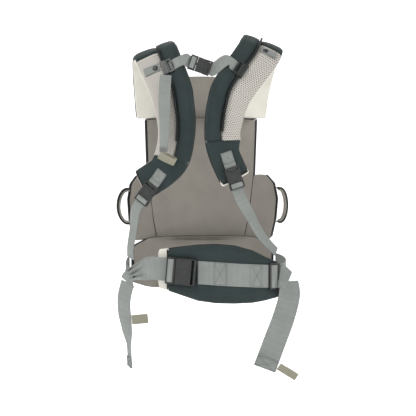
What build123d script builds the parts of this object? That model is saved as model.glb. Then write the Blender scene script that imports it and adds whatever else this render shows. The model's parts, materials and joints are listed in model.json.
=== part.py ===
from build123d import *
import math
import os

# Soft baby carrier in the shape it has when worn on the front.
# +Z is up, -Y is the wearer's back, +X is the wearer's right.
# The origin is on the wearer's axis at the waist belt's mid-height. Millimetres.

os.makedirs("parts", exist_ok=True)

# --- webbing and clearances ---
waist_webbing_width = 50.0
strap_webbing_width = 25.0
snap_tab_width = 20.0
webbing_thickness = 1.6
surface_gap = 0.4          # between a piece and the fabric that it lies on
running_gap = 0.4          # between moulded pieces that move past each other
webbing_side_gap = 0.8     # webbing to the rails of a ladder lock

# --- shoulder straps ---
pad_thickness = 12.0
lining_thickness = 2.0
mesh_width_at_shoulder = 54.0
mesh_width_at_back = 41.0
band_width_at_shoulder = 40.0
band_width_at_back = 35.0
strap_end_width = 66.0
rail_radius = 2.5
rail_stem_width = 1.4
rail_stem_height = 2.0

# --- waist belt ---
belt_half_width = 185.0    # of the oval that the lumbar pad follows
belt_half_depth = 104.0
lumbar_thickness = 12.0
lumbar_lining_thickness = 2.0
front_pad_height = 116.0
front_pad_thickness = 12.0
front_pad_half_width = 165.0
front_pad_cut = (45.0, 18.0)   # cut corners, across and up

# --- front panel ---
panel_radius = 229.0       # outside of the curved panel
panel_axis_y = -94.0
cover_thickness = 2.0
panel_padding = 6.0
panel_top = 330.0
panel_bottom = 62.0
neck_support_height = 96.0
neck_support_half_width = 56.0
neck_straight_share = 0.7  # of its height, below the cut corners
neck_top_share = 0.72      # of its width, at the top

# --- buckles ---
waist_buckle_thickness = 14.0
waist_socket_length = 44.0
waist_ladder_length = 20.0
waist_release_travel = 27.0
strap_buckle_thickness = 10.0
strap_socket_length = 32.0
strap_ladder_length = 16.0
strap_release_travel = 20.0
buckle_side_margin = 3.5   # moulding beyond each edge of the webbing
plate_thickness = 1.6
latch_width = 3.0
socket_corner = 3.0
plug_corner = 2.0
socket_open_share = 0.6    # shares of the socket's length: its cavity and its webbing slot
slot_start_share = 0.76
slot_end_share = 0.89
ladder_bar_share = 0.2     # shares of the ladder lock's length: end bar, middle bar's place, slots
ladder_middle_share = 0.52
ladder_slot_share = 0.28
tongue_root = 2.0          # how far the guide tongue overlaps the ladder lock
latch_short_of_end = 1.5
latch_inset = 0.3          # latch arms inside the buckle's sides


def vector(point):
    return Vector(*point)


def face_loft(sections):
    """Solid with ruled sides through closed outlines of equal length, point to point."""
    faces = []
    for a, b in zip(sections, sections[1:]):
        for i in range(len(a)):
            j = (i + 1) % len(a)
            near, far = Edge.make_line(a[i], a[j]), Edge.make_line(b[i], b[j])
            faces.append(Face.make_surface_from_curves(near, far))
    for end in (sections[0], sections[-1]):
        faces.append(Face(Wire.make_polygon(end, close=True)))
    return Solid(Shell(faces))


def save(name, shape):
    export_step(shape, os.path.join("parts", name + ".step"))


def block(x0, x1, y0, y1, z0, z1):
    return Pos((x0 + x1) / 2, (y0 + y1) / 2, (z0 + z1) / 2) * Box(x1 - x0, y1 - y0, z1 - z0)


# ---------------------------------------------------------------- strap frames

shoulder_core = 375.0      # height about which the straps turn over the shoulder
side_lean = 0.6            # how far the straps lean round the wearer's sides


class Station:
    """A cross-section place: centre, direction across, direction outwards."""

    def __init__(self, centre, across, outward):
        self.centre = centre
        self.across = across
        self.outward = outward

    def at(self, sideways, out):
        return self.centre + self.across * sideways + self.outward * out


def strap_stations(route, side):
    points = [vector(p) for p in route]
    stations = []
    for i, p in enumerate(points):
        before = points[max(i - 1, 0)]
        after = points[min(i + 1, len(points) - 1)]
        along = (after - before).normalized()
        core = Vector(p.X * side_lean, 0, min(p.Z, shoulder_core))
        out = p - core
        out = (out - along * out.dot(along)).normalized()
        stations.append(Station(p, out.cross(along) * side, out))
    return stations


def ribbon(stations, edges, low, high):
    """A flat strip: edges holds one (left, right) pair for each station."""
    sections = []
    for s, (left, right) in zip(stations, edges):
        sections.append([s.at(left, low), s.at(right, low), s.at(right, high), s.at(left, high)])
    return face_loft(sections)


def folded_ribbon(stations, edges, low, high):
    """The same strip with a crease along the line at zero."""
    sections = []
    for s, (left, right) in zip(stations, edges):
        under = [s.at(left, low), s.at(0, low), s.at(right, low)]
        over = [s.at(right, high), s.at(0, high), s.at(left, high)]
        sections.append(under + over)
    return face_loft(sections)


def free_webbing(route, acrosses, widths, thickness):
    """Webbing along a route, with the direction across it and its spread at each point."""
    points = [vector(p) for p in route]
    stations = []
    for i, p in enumerate(points):
        before = points[max(i - 1, 0)]
        after = points[min(i + 1, len(points) - 1)]
        along = (after - before).normalized()
        across = vector(acrosses[i])
        across = (across - along * across.dot(along)).normalized()
        stations.append(Station(p, across, along.cross(across)))
    if not isinstance(widths, list):
        widths = [widths] * len(stations)
    return ribbon(stations, [(-w / 2, w / 2) for w in widths], -thickness / 2, thickness / 2)


# ---------------------------------------------------------------- side-release buckle
# Local frame: +X from the ladder lock to the socket, Z out of the wearer, mouth at X = 0.

def buckle(webbing, thickness, socket_length, ladder_length):
    half_width = webbing / 2 + buckle_side_margin
    half_thick = thickness / 2
    channel = -half_thick + webbing_thickness + surface_gap * 1.5
    inside = half_thick - plate_thickness
    block_start = socket_length * socket_open_share
    slot_start = socket_length * slot_start_share
    slot_end = socket_length * slot_end_share
    half_slot = webbing / 2 + webbing_side_gap

    socket = block(0, socket_length, -half_width, half_width, -half_thick, half_thick)
    socket = fillet(socket.edges().filter_by(Axis.Z), min(socket_corner, half_width / 3))
    socket -= block(-1, block_start, -half_width - 1, half_width + 1, -inside, inside)
    socket -= block(slot_start, slot_end, -half_slot, half_slot, -half_thick - 1, half_thick + 1)
    socket -= block(slot_end - 1, socket_length + 1, -half_slot, half_slot, -half_thick - 1, channel)

    plug = block(-ladder_length, -running_gap, -half_width, half_width, -half_thick, half_thick)
    plug = fillet(plug.edges().filter_by(Axis.Z), min(plug_corner, ladder_length / 5))
    bar = ladder_length * ladder_bar_share
    middle = -ladder_length * ladder_middle_share
    plug -= block(-ladder_length - 1, 1, -half_slot, half_slot, -half_thick - 1, channel)
    for low in (-ladder_length + bar, middle + bar / 2):
        high = low + ladder_length * ladder_slot_share
        plug -= block(low, high, -half_slot, half_slot, -half_thick - 1, half_thick + 1)
    prong = inside - running_gap
    tongue = block(-tongue_root, block_start - tongue_root, -latch_width, latch_width, -prong, prong)
    plug += tongue

    reach = block_start - latch_short_of_end
    root = half_width - 2.2 * latch_width
    outline = [
        (running_gap, root),
        (reach, root + latch_width * 0.6),
        (reach, root + latch_width * 1.2),
        (reach * 0.86, half_width - latch_inset),
        (reach * 0.42, half_width - latch_inset),
        (reach * 0.3, root + latch_width),
        (running_gap, root + latch_width),
    ]
    latch_face = make_face(Polyline(*outline, close=True))
    latch = extrude(latch_face, amount=prong * 2).moved(Location((0, 0, -prong)))
    mirrored = latch.mirror(Plane.XZ)
    pivot = Vector(running_gap + 1.2, root + latch_width / 2, 0)
    return {"socket": socket, "plug": plug, "latch_a": latch, "latch_b": mirrored, "pivot": pivot,
            "channel": (-half_thick + surface_gap / 2, channel - surface_gap),
            "slot": slot_start + 0.6}


def plane_at(origin, x_direction, outward):
    x_axis = vector(x_direction).normalized()
    z_axis = vector(outward)
    z_axis = (z_axis - x_axis * z_axis.dot(x_axis)).normalized()
    return Plane(origin=vector(origin), x_dir=x_axis, z_dir=z_axis)


def set_buckle(name, parts, plane):
    save(name + "_socket", parts["socket"].moved(plane.location))
    save(name + "_plug", parts["plug"].moved(plane.location))
    save(name + "_latch_a", parts["latch_a"].moved(plane.location))
    save(name + "_latch_b", parts["latch_b"].moved(plane.location))
    for key, sign in (("latch_a", 1), ("latch_b", -1)):
        local = Vector(parts["pivot"].X, parts["pivot"].Y * sign, 0)
        report_place(name + " " + key + " pivot", plane.from_local_coords(local))
    report_place(name + " x", plane.x_dir)
    report_place(name + " z", plane.z_dir)


def report_place(name, v):
    print(name, [round(c, 4) for c in (v.X, v.Y, v.Z)])


# ---------------------------------------------------------------- shoulder straps
# Each route is the line of the rail, from the panel's top corner over the
# shoulder and down the back. The outer half is mesh, the inner half is woven.

left_route = [
    (-98, 113, panel_top), (-102, 103, 385), (-107, 76, 433), (-110, 42, 466), (-111, 6, 481),
    (-108, -26, 479), (-105, -52, 464), (-84, -101, 398), (-78, -110, 362), (-74, -112, 325),
    (-76, -111, 284), (-86, -108, 244),
]
left_end_route = [(-86, -108, 244), (-107, -103, 220), (-132, -92, 202), (-150, -80, 190)]
right_route = [
    (98, 113, panel_top), (103, 104, 388), (110, 78, 441), (116, 42, 480), (119, 4, 497),
    (113, -30, 491), (95, -62, 467), (41, -103, 398), (27, -110, 360), (21, -112, 328),
    (19, -113, 304), (20, -113, 284),
]
right_end_route = [(20, -113, 284), (26, -113, 256), (38, -111, 228), (52, -108, 200)]
slider_stretch = 6         # first end of the straight piece of rail that a chest slider runs on
narrowing = 4              # stations over which a strap narrows below the slider's stretch
first_rail_station = 3
bead_points = 9            # corners of the rail's round bead, open where the stem joins
bead_start = -60.0
bead_turn = 300.0


def strap_edges(count, outer_ends, inner_ends):
    """Edges along a strap: wide over the shoulder, narrower down the back."""
    pairs = []
    for i in range(count):
        t = min(1.0, max(0.0, (i - slider_stretch) / narrowing))
        outer = outer_ends[0] + (outer_ends[1] - outer_ends[0]) * t
        inner = inner_ends[0] + (inner_ends[1] - inner_ends[0]) * t
        pairs.append((outer, -inner))
    return pairs


def rail_section(station):
    """Stem with a round bead on top, standing on the pad's surface."""
    base = pad_thickness / 2
    bead = base + rail_stem_height + rail_radius
    points = [station.at(-rail_stem_width / 2, base), station.at(rail_stem_width / 2, base)]
    for i in range(bead_points):
        a = math.radians(bead_start + bead_turn * i / (bead_points - 1))
        points.append(station.at(rail_radius * math.cos(a), bead + rail_radius * math.sin(a)))
    return points


def shoulder_strap(name, side, route, end_route):
    stations = strap_stations(route, side)
    # the front end stands flat on the panel's top edge
    front = stations[0]
    front.centre = front.centre + Vector(0, 0, surface_gap)
    front.outward = Vector(front.centre.X, front.centre.Y - panel_axis_y, 0).normalized()
    front.across = front.outward.cross(Vector(0, 0, 1)) * side
    # the slider's stretch of rail is not twisted
    first, second = stations[slider_stretch], stations[slider_stretch + 1]
    along = (second.centre - first.centre).normalized()
    mean = first.outward + second.outward
    mean = (mean - along * mean.dot(along)).normalized()
    for s in (first, second):
        s.outward = mean
        s.across = mean.cross(along) * side
    edges = strap_edges(
        len(stations),
        (mesh_width_at_shoulder, mesh_width_at_back),
        (band_width_at_shoulder, band_width_at_back),
    )
    low, high = -pad_thickness / 2, pad_thickness / 2
    save(name + "_strap_mesh", ribbon(stations, [(a, 0) for a, b in edges], low, high))
    save(name + "_strap_band", ribbon(stations, [(0, b) for a, b in edges], low, high))

    end_stations = strap_stations(end_route, side)
    end_stations[0] = stations[-1]
    half_end = strap_end_width / 2
    end_edges = [edges[-1]]
    for i in range(1, len(end_stations)):
        end_edges.append((half_end, -half_end))
    save(name + "_strap_end", folded_ribbon(end_stations, end_edges, low, high))

    all_stations = stations + end_stations[1:]
    all_edges = edges + end_edges[1:]
    under = low - lining_thickness
    save(name + "_strap_lining", folded_ribbon(all_stations, all_edges, under, low))
    rail_stations = stations[first_rail_station:-1]
    save(name + "_strap_rail", face_loft([rail_section(s) for s in rail_stations]))
    return stations, all_stations


left_stations, left_all = shoulder_strap("left", -1, left_route, left_end_route)
right_stations, right_all = shoulder_strap("right", 1, right_route, right_end_route)


# ---------------------------------------------------------------- shoulder buckles

strap_buckle = buckle(strap_webbing_width, strap_buckle_thickness, strap_socket_length, strap_ladder_length)
box_tab_length = 34.0


def strap_buckle_set(name, mouth, towards_pad, outward):
    plane = plane_at(mouth, towards_pad, outward)
    set_buckle(name + "_shoulder", strap_buckle, plane)
    low, high = strap_buckle["channel"]
    half = strap_webbing_width / 2
    tab = block(strap_buckle["slot"], strap_socket_length + box_tab_length, -half, half, low, high)
    save(name + "_box_tab", tab.moved(plane.location))
    return plane


left_plane = strap_buckle_set("left", (-144.7, -100.4, 166), (0.52, -0.22, 0.79), (-0.45, -0.9, 0.05))
right_plane = strap_buckle_set("right", (47.5, -128, 198), (-0.31, 0.0, 0.95), (0.06, -1.0, 0.0))


def strap_webbing(name, plane, route, acrosses):
    """Webbing from inside the ladder lock down to the belt's side."""
    low, high = strap_buckle["channel"]
    mid = (low + high) / 2
    released = -strap_ladder_length - strap_release_travel
    starts = [plane.from_local_coords(Vector(x, 0, mid)) for x in (-1.0, released)]
    points = [(p.X, p.Y, p.Z) for p in starts] + route
    sideways = plane.y_dir
    across = [(sideways.X, sideways.Y, sideways.Z)] * 2 + acrosses
    save(name + "_shoulder_webbing", free_webbing(points, across, strap_webbing_width, high - low))


strap_webbing("left", left_plane,
              [(-168, -80, 92), (-173, -68, 55), (-172, -58, 30)],
              [(0.5, -0.85, 0), (0.45, -0.9, 0), (0.5, -0.85, 0)])
strap_webbing("right", right_plane,
              [(84, -116, 118), (104, -108, 84), (127, -98, 58), (143, -90, 42)],
              [(0.85, 0.45, 0.3), (0.7, 0.65, 0.3), (0.6, 0.75, 0.25), (0.6, 0.75, 0.25)])


# ---------------------------------------------------------------- snap tabs and sliders on the rails

snap_cap_radius = 6.2
snap_cap_height = 3.0
snap_cap_edge = 1.2
snap_tab_length = 36.0
snap_stud_radius = 4.0
snap_stand_off = 2.4       # the tab's height over the mesh, on its stud
slider_length = 34.0
slider_height = 8.0
slider_half_width = 6.5
slider_loop_width = 11.0
slider_corner = 1.5
loop_from_pad = 3.0        # the slider's webbing loop: height over its foot, thickness and bars
loop_thickness_z = 3.5
loop_inner_bar = 2.5
loop_outer_bar = 3.5
loop_grip = 4.5            # how far from the clip the webbing ends
snap_from_clip = 3.0       # the tab's start beyond a slider's half width
snap_from_tab_end = 3.5
stud_below_tab = 0.2
stud_above_pad = 0.05
webbing_lift = 2.5         # the chest webbing rises off the pad beside the slider
edge_clearance = 9.0       # webbing beyond the slider, and beyond the band's edge, at that height


def rail_plane(stations, first, share):
    """Frame on the pad's surface at one stretch of rail: X down the rail, Z outwards."""
    a, b = stations[first], stations[first + 1]
    along = (b.centre - a.centre).normalized()
    outward = a.outward + b.outward
    outward = (outward - along * outward.dot(along)).normalized()
    centre = a.centre + (b.centre - a.centre) * share + outward * (pad_thickness / 2)
    return Plane(origin=centre, x_dir=along, z_dir=outward)


def chest_slider(name, stations, share, inward):
    """A clip on the bead of the rail, with a loop for the chest webbing beside it."""
    plane = rail_plane(stations, slider_stretch, share)
    half = slider_length / 2
    low = surface_gap
    clip = block(-half, half, -slider_half_width, slider_half_width, low, low + slider_height)
    clip = fillet(clip.edges().filter_by(Axis.X), min(slider_corner, slider_height / 4))
    bead = rail_stem_height + rail_radius
    bore = Cylinder(rail_radius + running_gap, slider_length + 2, rotation=(0, 90, 0)).moved(
        Location((0, 0, bead)))
    clip -= bore
    stem_half = rail_stem_width / 2 + running_gap * 2
    clip -= block(-half - 1, half + 1, -stem_half, stem_half, low - 1, bead)
    near = slider_half_width * inward
    far = (slider_half_width + slider_loop_width) * inward
    loop_low = low + loop_from_pad
    loop_high = loop_low + loop_thickness_z
    loop = block(-half, half, min(near, far), max(near, far), loop_low, loop_high)
    slot_half = strap_webbing_width / 2 + webbing_side_gap
    slot_near = (slider_half_width + loop_inner_bar) * inward
    slot_far = (slider_half_width + slider_loop_width - loop_outer_bar) * inward
    loop -= block(-slot_half, slot_half, min(slot_near, slot_far), max(slot_near, slot_far),
                  loop_low - 1, loop_high + 1)
    save(name + "_chest_slider", (clip + loop).moved(plane.location))
    report_place(name + " rail x", plane.x_dir)
    under = loop_low - surface_gap - webbing_thickness / 2
    places = [
        (band_width_at_shoulder + edge_clearance, under + webbing_lift),
        (slider_half_width + slider_loop_width + edge_clearance, under + webbing_lift),
        (slider_half_width + slider_loop_width, under),
        (slider_half_width + loop_grip, under),
    ]
    return plane, [plane.from_local_coords(Vector(0, y * inward, z)) for y, z in places]


def snap_tab(name, stations, first, share, outer):
    """Tab sewn at the strap's outer edge, closed by a press stud beside the rail."""
    plane = rail_plane(stations, first, share)
    half = snap_tab_width / 2
    near = slider_half_width + snap_from_clip
    far = near + snap_tab_length
    low = snap_stand_off
    high = low + webbing_thickness
    tab = block(-half, half, min(near * outer, far * outer), max(near * outer, far * outer), low, high)
    save(name + "_snap_tab", tab.moved(plane.location))
    snap_y = (near + snap_cap_radius + snap_from_tab_end) * outer
    cap = Cylinder(snap_cap_radius, snap_cap_height, align=(Align.CENTER, Align.CENTER, Align.MIN))
    cap = fillet(cap.edges().group_by(Axis.Z)[-1], min(snap_cap_edge, snap_cap_height / 2))
    save(name + "_snap_cap", cap.moved(Location((0, snap_y, high))).moved(plane.location))
    stud = Cylinder(snap_stud_radius, low - stud_below_tab, align=(Align.CENTER, Align.CENTER, Align.MIN))
    hinge = plane.from_local_coords(Vector(0, far * outer, low))
    report_place(name + " snap hinge", hinge)
    report_place(name + " snap axis", plane.x_dir)
    report_place(name + " snap out", plane.z_dir)
    return stud.moved(Location((0, snap_y, stud_above_pad))).moved(plane.location)


left_rail, left_loop = chest_slider("left", left_stations, 0.45, 1)
right_rail, right_loop = chest_slider("right", right_stations, 0.55, -1)
studs = [
    snap_tab("left", left_stations, slider_stretch, 0.34, -1),
    snap_tab("right", right_stations, slider_stretch - 1, 0.5, 1),
]
save("snap_studs", Compound(studs))


# ---------------------------------------------------------------- chest strap

chest_buckle = buckle(strap_webbing_width, strap_buckle_thickness, strap_socket_length, strap_ladder_length)
chest_mouth = (-33.0, -101.0, 448.0)
chest_plane = plane_at(chest_mouth, (0.94, -0.06, -0.34), (-0.08, -1.0, 0.1))
set_buckle("chest", chest_buckle, chest_plane)


def chest_webbing(name, loop_points, rail, local_xs):
    """From under the buckle to the slider's loop, turning so that it lies along the rail there."""
    low, high = chest_buckle["channel"]
    mid = (low + high) / 2
    points = [chest_plane.from_local_coords(Vector(x, 0, mid)) for x in local_xs] + loop_points
    side = chest_plane.y_dir
    rail_side = rail.x_dir
    if rail_side.dot(side) < 0:
        rail_side = rail_side * -1
    across = [side] * len(local_xs) + [rail_side] * len(loop_points)
    save(name, free_webbing([(p.X, p.Y, p.Z) for p in points], [(a.X, a.Y, a.Z) for a in across],
                            strap_webbing_width, webbing_thickness))


webbing_lead = 5.0         # straight webbing beyond each end of the chest buckle
chest_webbing("chest_webbing_left", left_loop, left_rail,
              (-1.0, -strap_ladder_length, -strap_ladder_length - webbing_lead))
chest_webbing("chest_webbing_right", right_loop, right_rail,
              (chest_buckle["slot"], strap_socket_length, strap_socket_length + webbing_lead))

chest_tail_points = [(-101, -120, 424), (-104, -127, 380), (-105, -134, 330), (-107, -138, 262)]
chest_tail_across = [(1, 0.05, 0), (1, 0.05, 0), (0.8, -0.6, 0), (0.5, -0.86, 0)]
save("chest_tail", free_webbing(chest_tail_points, chest_tail_across,
                                strap_webbing_width, webbing_thickness))
report_place("chest tail top", vector(chest_tail_points[0]))


elastic_wall = 1.4
elastic_opening = 2.4      # between a loop's two layers


def elastic_loop(name, root, direction, length, width):
    """Flat loop of elastic sewn on at its root. It swings outwards about the front of the root."""
    out_axis = vector(direction).normalized()
    front = Vector(0, -1, 0)
    front = (front - out_axis * front.dot(out_axis)).normalized()
    plane = Plane(origin=vector(root), x_dir=out_axis.cross(front), z_dir=front)
    half = width / 2
    inside = elastic_opening / 2
    outside = inside + elastic_wall
    ring = block(-half, half, 0, length, -outside, outside)
    ring -= block(-half - 1, half + 1, elastic_wall, length - elastic_wall, -inside, inside)
    save(name, ring.moved(plane.location))
    report_place(name + " hinge", plane.from_local_coords(Vector(0, 0, outside)))
    report_place(name + " axis", plane.x_dir)


elastic_loop("chest_keeper", (-117.5, -148.0, 257.0), (0.9, 0, -0.43), 38.0, 18.0)


# ---------------------------------------------------------------- waist belt, back

def belt_station(x):
    """Place on the lumbar oval, inner surface, with the outward direction in plan."""
    y = -belt_half_depth * math.sqrt(1 - (x / belt_half_width) ** 2)
    out = Vector(x / belt_half_width ** 2, y / belt_half_depth ** 2, 0).normalized()
    return Station(Vector(x, y, 0), Vector(0, 0, 1), out)


lumbar_outline = [          # x, lowest z, highest z
    (-92, -37, 53), (-31, -58, 61), (8, -64, 62), (48, -66, 58),
    (88, -66, 46), (116, -63, 31), (148, -58, 16),
]
lumbar_stations = [belt_station(x) for x, low, high in lumbar_outline]
lumbar_heights = [(low, high) for x, low, high in lumbar_outline]
lumbar_outside = lumbar_lining_thickness + lumbar_thickness
save("lumbar_pad", ribbon(lumbar_stations, lumbar_heights, lumbar_lining_thickness, lumbar_outside))
lining_stations = [belt_station(-114)] + lumbar_stations
lining_heights = [(-32, 50)] + lumbar_heights
save("lumbar_lining", ribbon(lining_stations, lining_heights, 0, lumbar_lining_thickness))

belt_drop = 0.087           # the webbing runs down towards the wearer's right


def webbing_height(x):
    return 9.0 - belt_drop * (x + 100)


half_waist = waist_webbing_width / 2
on_pad = lumbar_outside + surface_gap
webbing_xs = [-31, 8, 48, 88, 116]
save("lumbar_webbing", ribbon(
    [belt_station(x) for x in webbing_xs],
    [(webbing_height(x) - half_waist, webbing_height(x) + half_waist) for x in webbing_xs],
    on_pad, on_pad + webbing_thickness))

# the buckle lies on the flat facet between the pad's first two sections
waist_buckle = buckle(waist_webbing_width, waist_buckle_thickness, waist_socket_length, waist_ladder_length)
facet_a = belt_station(-92).at(0, lumbar_outside)
facet_b = belt_station(-31).at(0, lumbar_outside)
facet = (facet_b - facet_a).normalized()
facet_out = Vector(facet.Y, -facet.X, 0)
mouth_x = -79.0
mouth = facet_a + facet * ((mouth_x - facet_a.X) / facet.X)
mouth = mouth + facet_out * (waist_buckle_thickness / 2 + surface_gap * 2)
waist_plane = plane_at((mouth.X, mouth.Y, webbing_height(mouth_x)),
                       (facet.X, facet.Y, -belt_drop), (facet_out.X, facet_out.Y, 0))
set_buckle("waist", waist_buckle, waist_plane)


# ---------------------------------------------------------------- waist belt, sides

waist_low, waist_high = waist_buckle["channel"]
straight_past_travel = 16.0  # the webbing stays flat this far beyond the released plug
side_start = [waist_plane.from_local_coords(Vector(x, 0, (waist_low + waist_high) / 2))
              for x in (-1.0, -waist_ladder_length - waist_release_travel - straight_past_travel)]
left_belt_route = [(p.X, p.Y, p.Z) for p in side_start] + [
    (-150, -84, 4), (-166, -56, -4), (-173, -20, -10), (-173, 24, -6), (-166.4, 62, 0)]
flat = waist_plane.y_dir
left_belt_across = [(flat.X, flat.Y, flat.Z)] * 2 + [
    (-0.2, 0, 1), (-0.35, 0, 1), (-0.4, 0, 1), (-0.2, 0, 1), (0, 0, 1)]
gathered = 24.0             # the webbing's spread where it is bunched at the wearer's side
half_gathered = 38.0
left_belt_spread = [waist_webbing_width, waist_webbing_width, half_gathered, gathered, gathered,
                    half_gathered, waist_webbing_width]
save("belt_webbing_left", free_webbing(left_belt_route, left_belt_across, left_belt_spread,
                                       waist_high - waist_low))

# tri-glide on the last facet of the lumbar pad
glide_a = belt_station(116).at(0, lumbar_outside)
glide_b = belt_station(148).at(0, lumbar_outside)
glide_x = (glide_b - glide_a).normalized()
glide_out = Vector(glide_x.Y, -glide_x.X, 0)
glide_length = 29.0
glide_thickness = 4.0
glide_bar = 4.5
glide_corner = 3.0
glide_from_facet_end = 3.0
glide_stand_off = 1.4       # room under the bars to swing without touching the pad
glide_origin = glide_a + glide_x * glide_from_facet_end + glide_out * (glide_thickness / 2 + glide_stand_off)
glide_middle_x = 132.0
glide_height = webbing_height(glide_middle_x)
glide_plane = Plane(origin=(glide_origin.X, glide_origin.Y, glide_height), x_dir=glide_x, z_dir=glide_out)
half_glide = half_waist + buckle_side_margin
tri_glide = block(0, glide_length, -half_glide, half_glide, -glide_thickness / 2, glide_thickness / 2)
tri_glide = fillet(tri_glide.edges().filter_by(Axis.Z), min(glide_corner, glide_length / 6))
slot_width = (glide_length - 3 * glide_bar) / 2
for k in range(2):
    start = glide_bar + k * (slot_width + glide_bar)
    tri_glide -= block(start, start + slot_width, -half_waist - webbing_side_gap,
                       half_waist + webbing_side_gap, -glide_thickness, glide_thickness)
save("tri_glide", tri_glide.moved(glide_plane.location))
report_place("tri glide pivot", glide_plane.from_local_coords(Vector(glide_length - glide_bar / 2, 0, 0)))
report_place("tri glide x", glide_plane.x_dir)
report_place("tri glide z", glide_plane.z_dir)

right_belt_route = [(154, -66, -12), (168, -44, -10), (177, -12, -6), (175, 28, -2), (166.4, 62, 0)]
right_belt_across = [(0, 0, 1)] * 5
save("belt_webbing_right", free_webbing(right_belt_route, right_belt_across, waist_webbing_width,
                                        webbing_thickness))


# ---------------------------------------------------------------- hanging tails

right_tail_route = [(171.0, -84.5, -22), (172, -88, -52), (160, -92, -98), (140, -94, -150), (116, -96, -212)]
right_tail_across = [(0.85, 0.45, 0.1), (0.8, 0.2, 0.5), (0.93, 0.1, 0.38), (0.93, 0, 0.38), (0.93, 0, 0.38)]
save("belt_tail_right", free_webbing(right_tail_route, right_tail_across,
                                     waist_webbing_width, webbing_thickness))
report_place("belt tail right top", vector(right_tail_route[0]))
elastic_loop("belt_keeper_right", (147.4, -96.5, -207.2), (0.845, 0, -0.535), 47.0, 16.0)

left_tail_route = [(-176, -24, -28), (-184, -20, -66), (-183, -16, -104), (-177, -14, -140),
                   (-173, -14, -168), (-171, -14, -216)]
left_tail_across = [(0.5, -0.86, 0)] * 3 + [(0.35, -0.94, 0), (0.1, -1, 0), (0.1, -1, 0)]
save("belt_tail_left", free_webbing(left_tail_route, left_tail_across,
                                    waist_webbing_width, webbing_thickness))
report_place("belt tail left top", vector(left_tail_route[0]))
elastic_loop("belt_keeper_left", (-168.8, -37.5, -108), (1, 0, 0.06), 36.0, 20.0)


# ---------------------------------------------------------------- front panel and front belt pad

def curved_sheet(outline, outer, inner):
    """The part of a standing tube wall that an outline in the XZ plane cuts out."""
    low = min(z for x, z in outline)
    high = max(z for x, z in outline)
    tube = Cylinder(outer, high - low) - Cylinder(inner, high - low + 2)
    tube = tube.moved(Location((0, panel_axis_y, (low + high) / 2)))
    face = make_face(Polyline(*[(x, 0, z) for x, z in outline], close=True))
    front = extrude(face, amount=panel_radius, dir=(0, 1, 0))
    return tube & front


def both_sides(points):
    """Outline mirrored about the middle plane."""
    return points + [(-x, z) for x, z in reversed(points)]


panel_edge = [(104, panel_bottom), (112, 100), (118, 150), (124, 205), (128, panel_top)]
panel_inside = panel_radius - cover_thickness
padding_inside = panel_inside - panel_padding
save("panel_cover", curved_sheet(both_sides(panel_edge), panel_radius, panel_inside))
save("panel_lining", curved_sheet(both_sides(panel_edge), panel_inside, padding_inside))


wing_side = 171.0
wing_edge = [(150, 203), (165, 184), (wing_side, 150), (168, 105), (160, panel_bottom)]
for name, side in (("left", -1), ("right", 1)):
    outline = [(x * side, z) for x, z in panel_edge[:4] + wing_edge]
    save(name + "_seat_wing", curved_sheet(outline, panel_radius, padding_inside))

# loops of padded binding round the leg openings, standing off the wings
loop_depth = 22.0
loop_thickness = 6.0
loop_height = 72.0
loop_middle = 136.0
loop_depth_y = 40.0
loop_steps = 10
loop_sweep = 208.0         # degrees of the oval that each loop keeps
loop_reach = (20.0, 14.0)  # left, right

def leg_loop(side, reach):
    """Half an oval of binding that stands out beside the wing's edge."""
    stations = []
    for i in range(loop_steps + 1):
        turn = math.radians(loop_sweep / 2 - loop_sweep * i / loop_steps)
        x = wing_side + reach * math.cos(turn)
        z = loop_middle + loop_height / 2 * math.sin(turn)
        out = Vector(math.cos(turn) / reach * side, 0, math.sin(turn) / loop_height * 2).normalized()
        stations.append(Station(Vector(x * side, loop_depth_y, z), Vector(0, 1, 0), out))
    half = loop_depth / 2
    return ribbon(stations, [(-half, half)] * len(stations), -loop_thickness / 2, loop_thickness / 2)


save("leg_loops", Compound([leg_loop(-1, loop_reach[0]), leg_loop(1, loop_reach[1])]))

support_bottom = panel_top + surface_gap
support = [(neck_support_half_width, support_bottom),
           (neck_support_half_width, support_bottom + neck_support_height * neck_straight_share),
           (neck_support_half_width * neck_top_share, support_bottom + neck_support_height)]
save("neck_support", curved_sheet(both_sides(support), panel_radius, panel_inside))
save("neck_support_lining", curved_sheet(both_sides(support), panel_inside, padding_inside))
report_place("neck support hinge", Vector(0, panel_axis_y + panel_radius, panel_top))

front_low = panel_bottom - front_pad_height - surface_gap
front_high = panel_bottom - surface_gap
cut_across, cut_up = front_pad_cut
front_outline = both_sides([
    (front_pad_half_width - cut_across, front_low),
    (front_pad_half_width, front_low + cut_up),
    (front_pad_half_width, front_high - cut_up),
    (front_pad_half_width - cut_across, front_high),
])
front_lining_inside = panel_radius - front_pad_thickness
save("front_belt_pad", curved_sheet(front_outline, panel_radius, front_lining_inside))
save("front_belt_lining", curved_sheet(front_outline, front_lining_inside,
                                       front_lining_inside - lumbar_lining_thickness))
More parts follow.
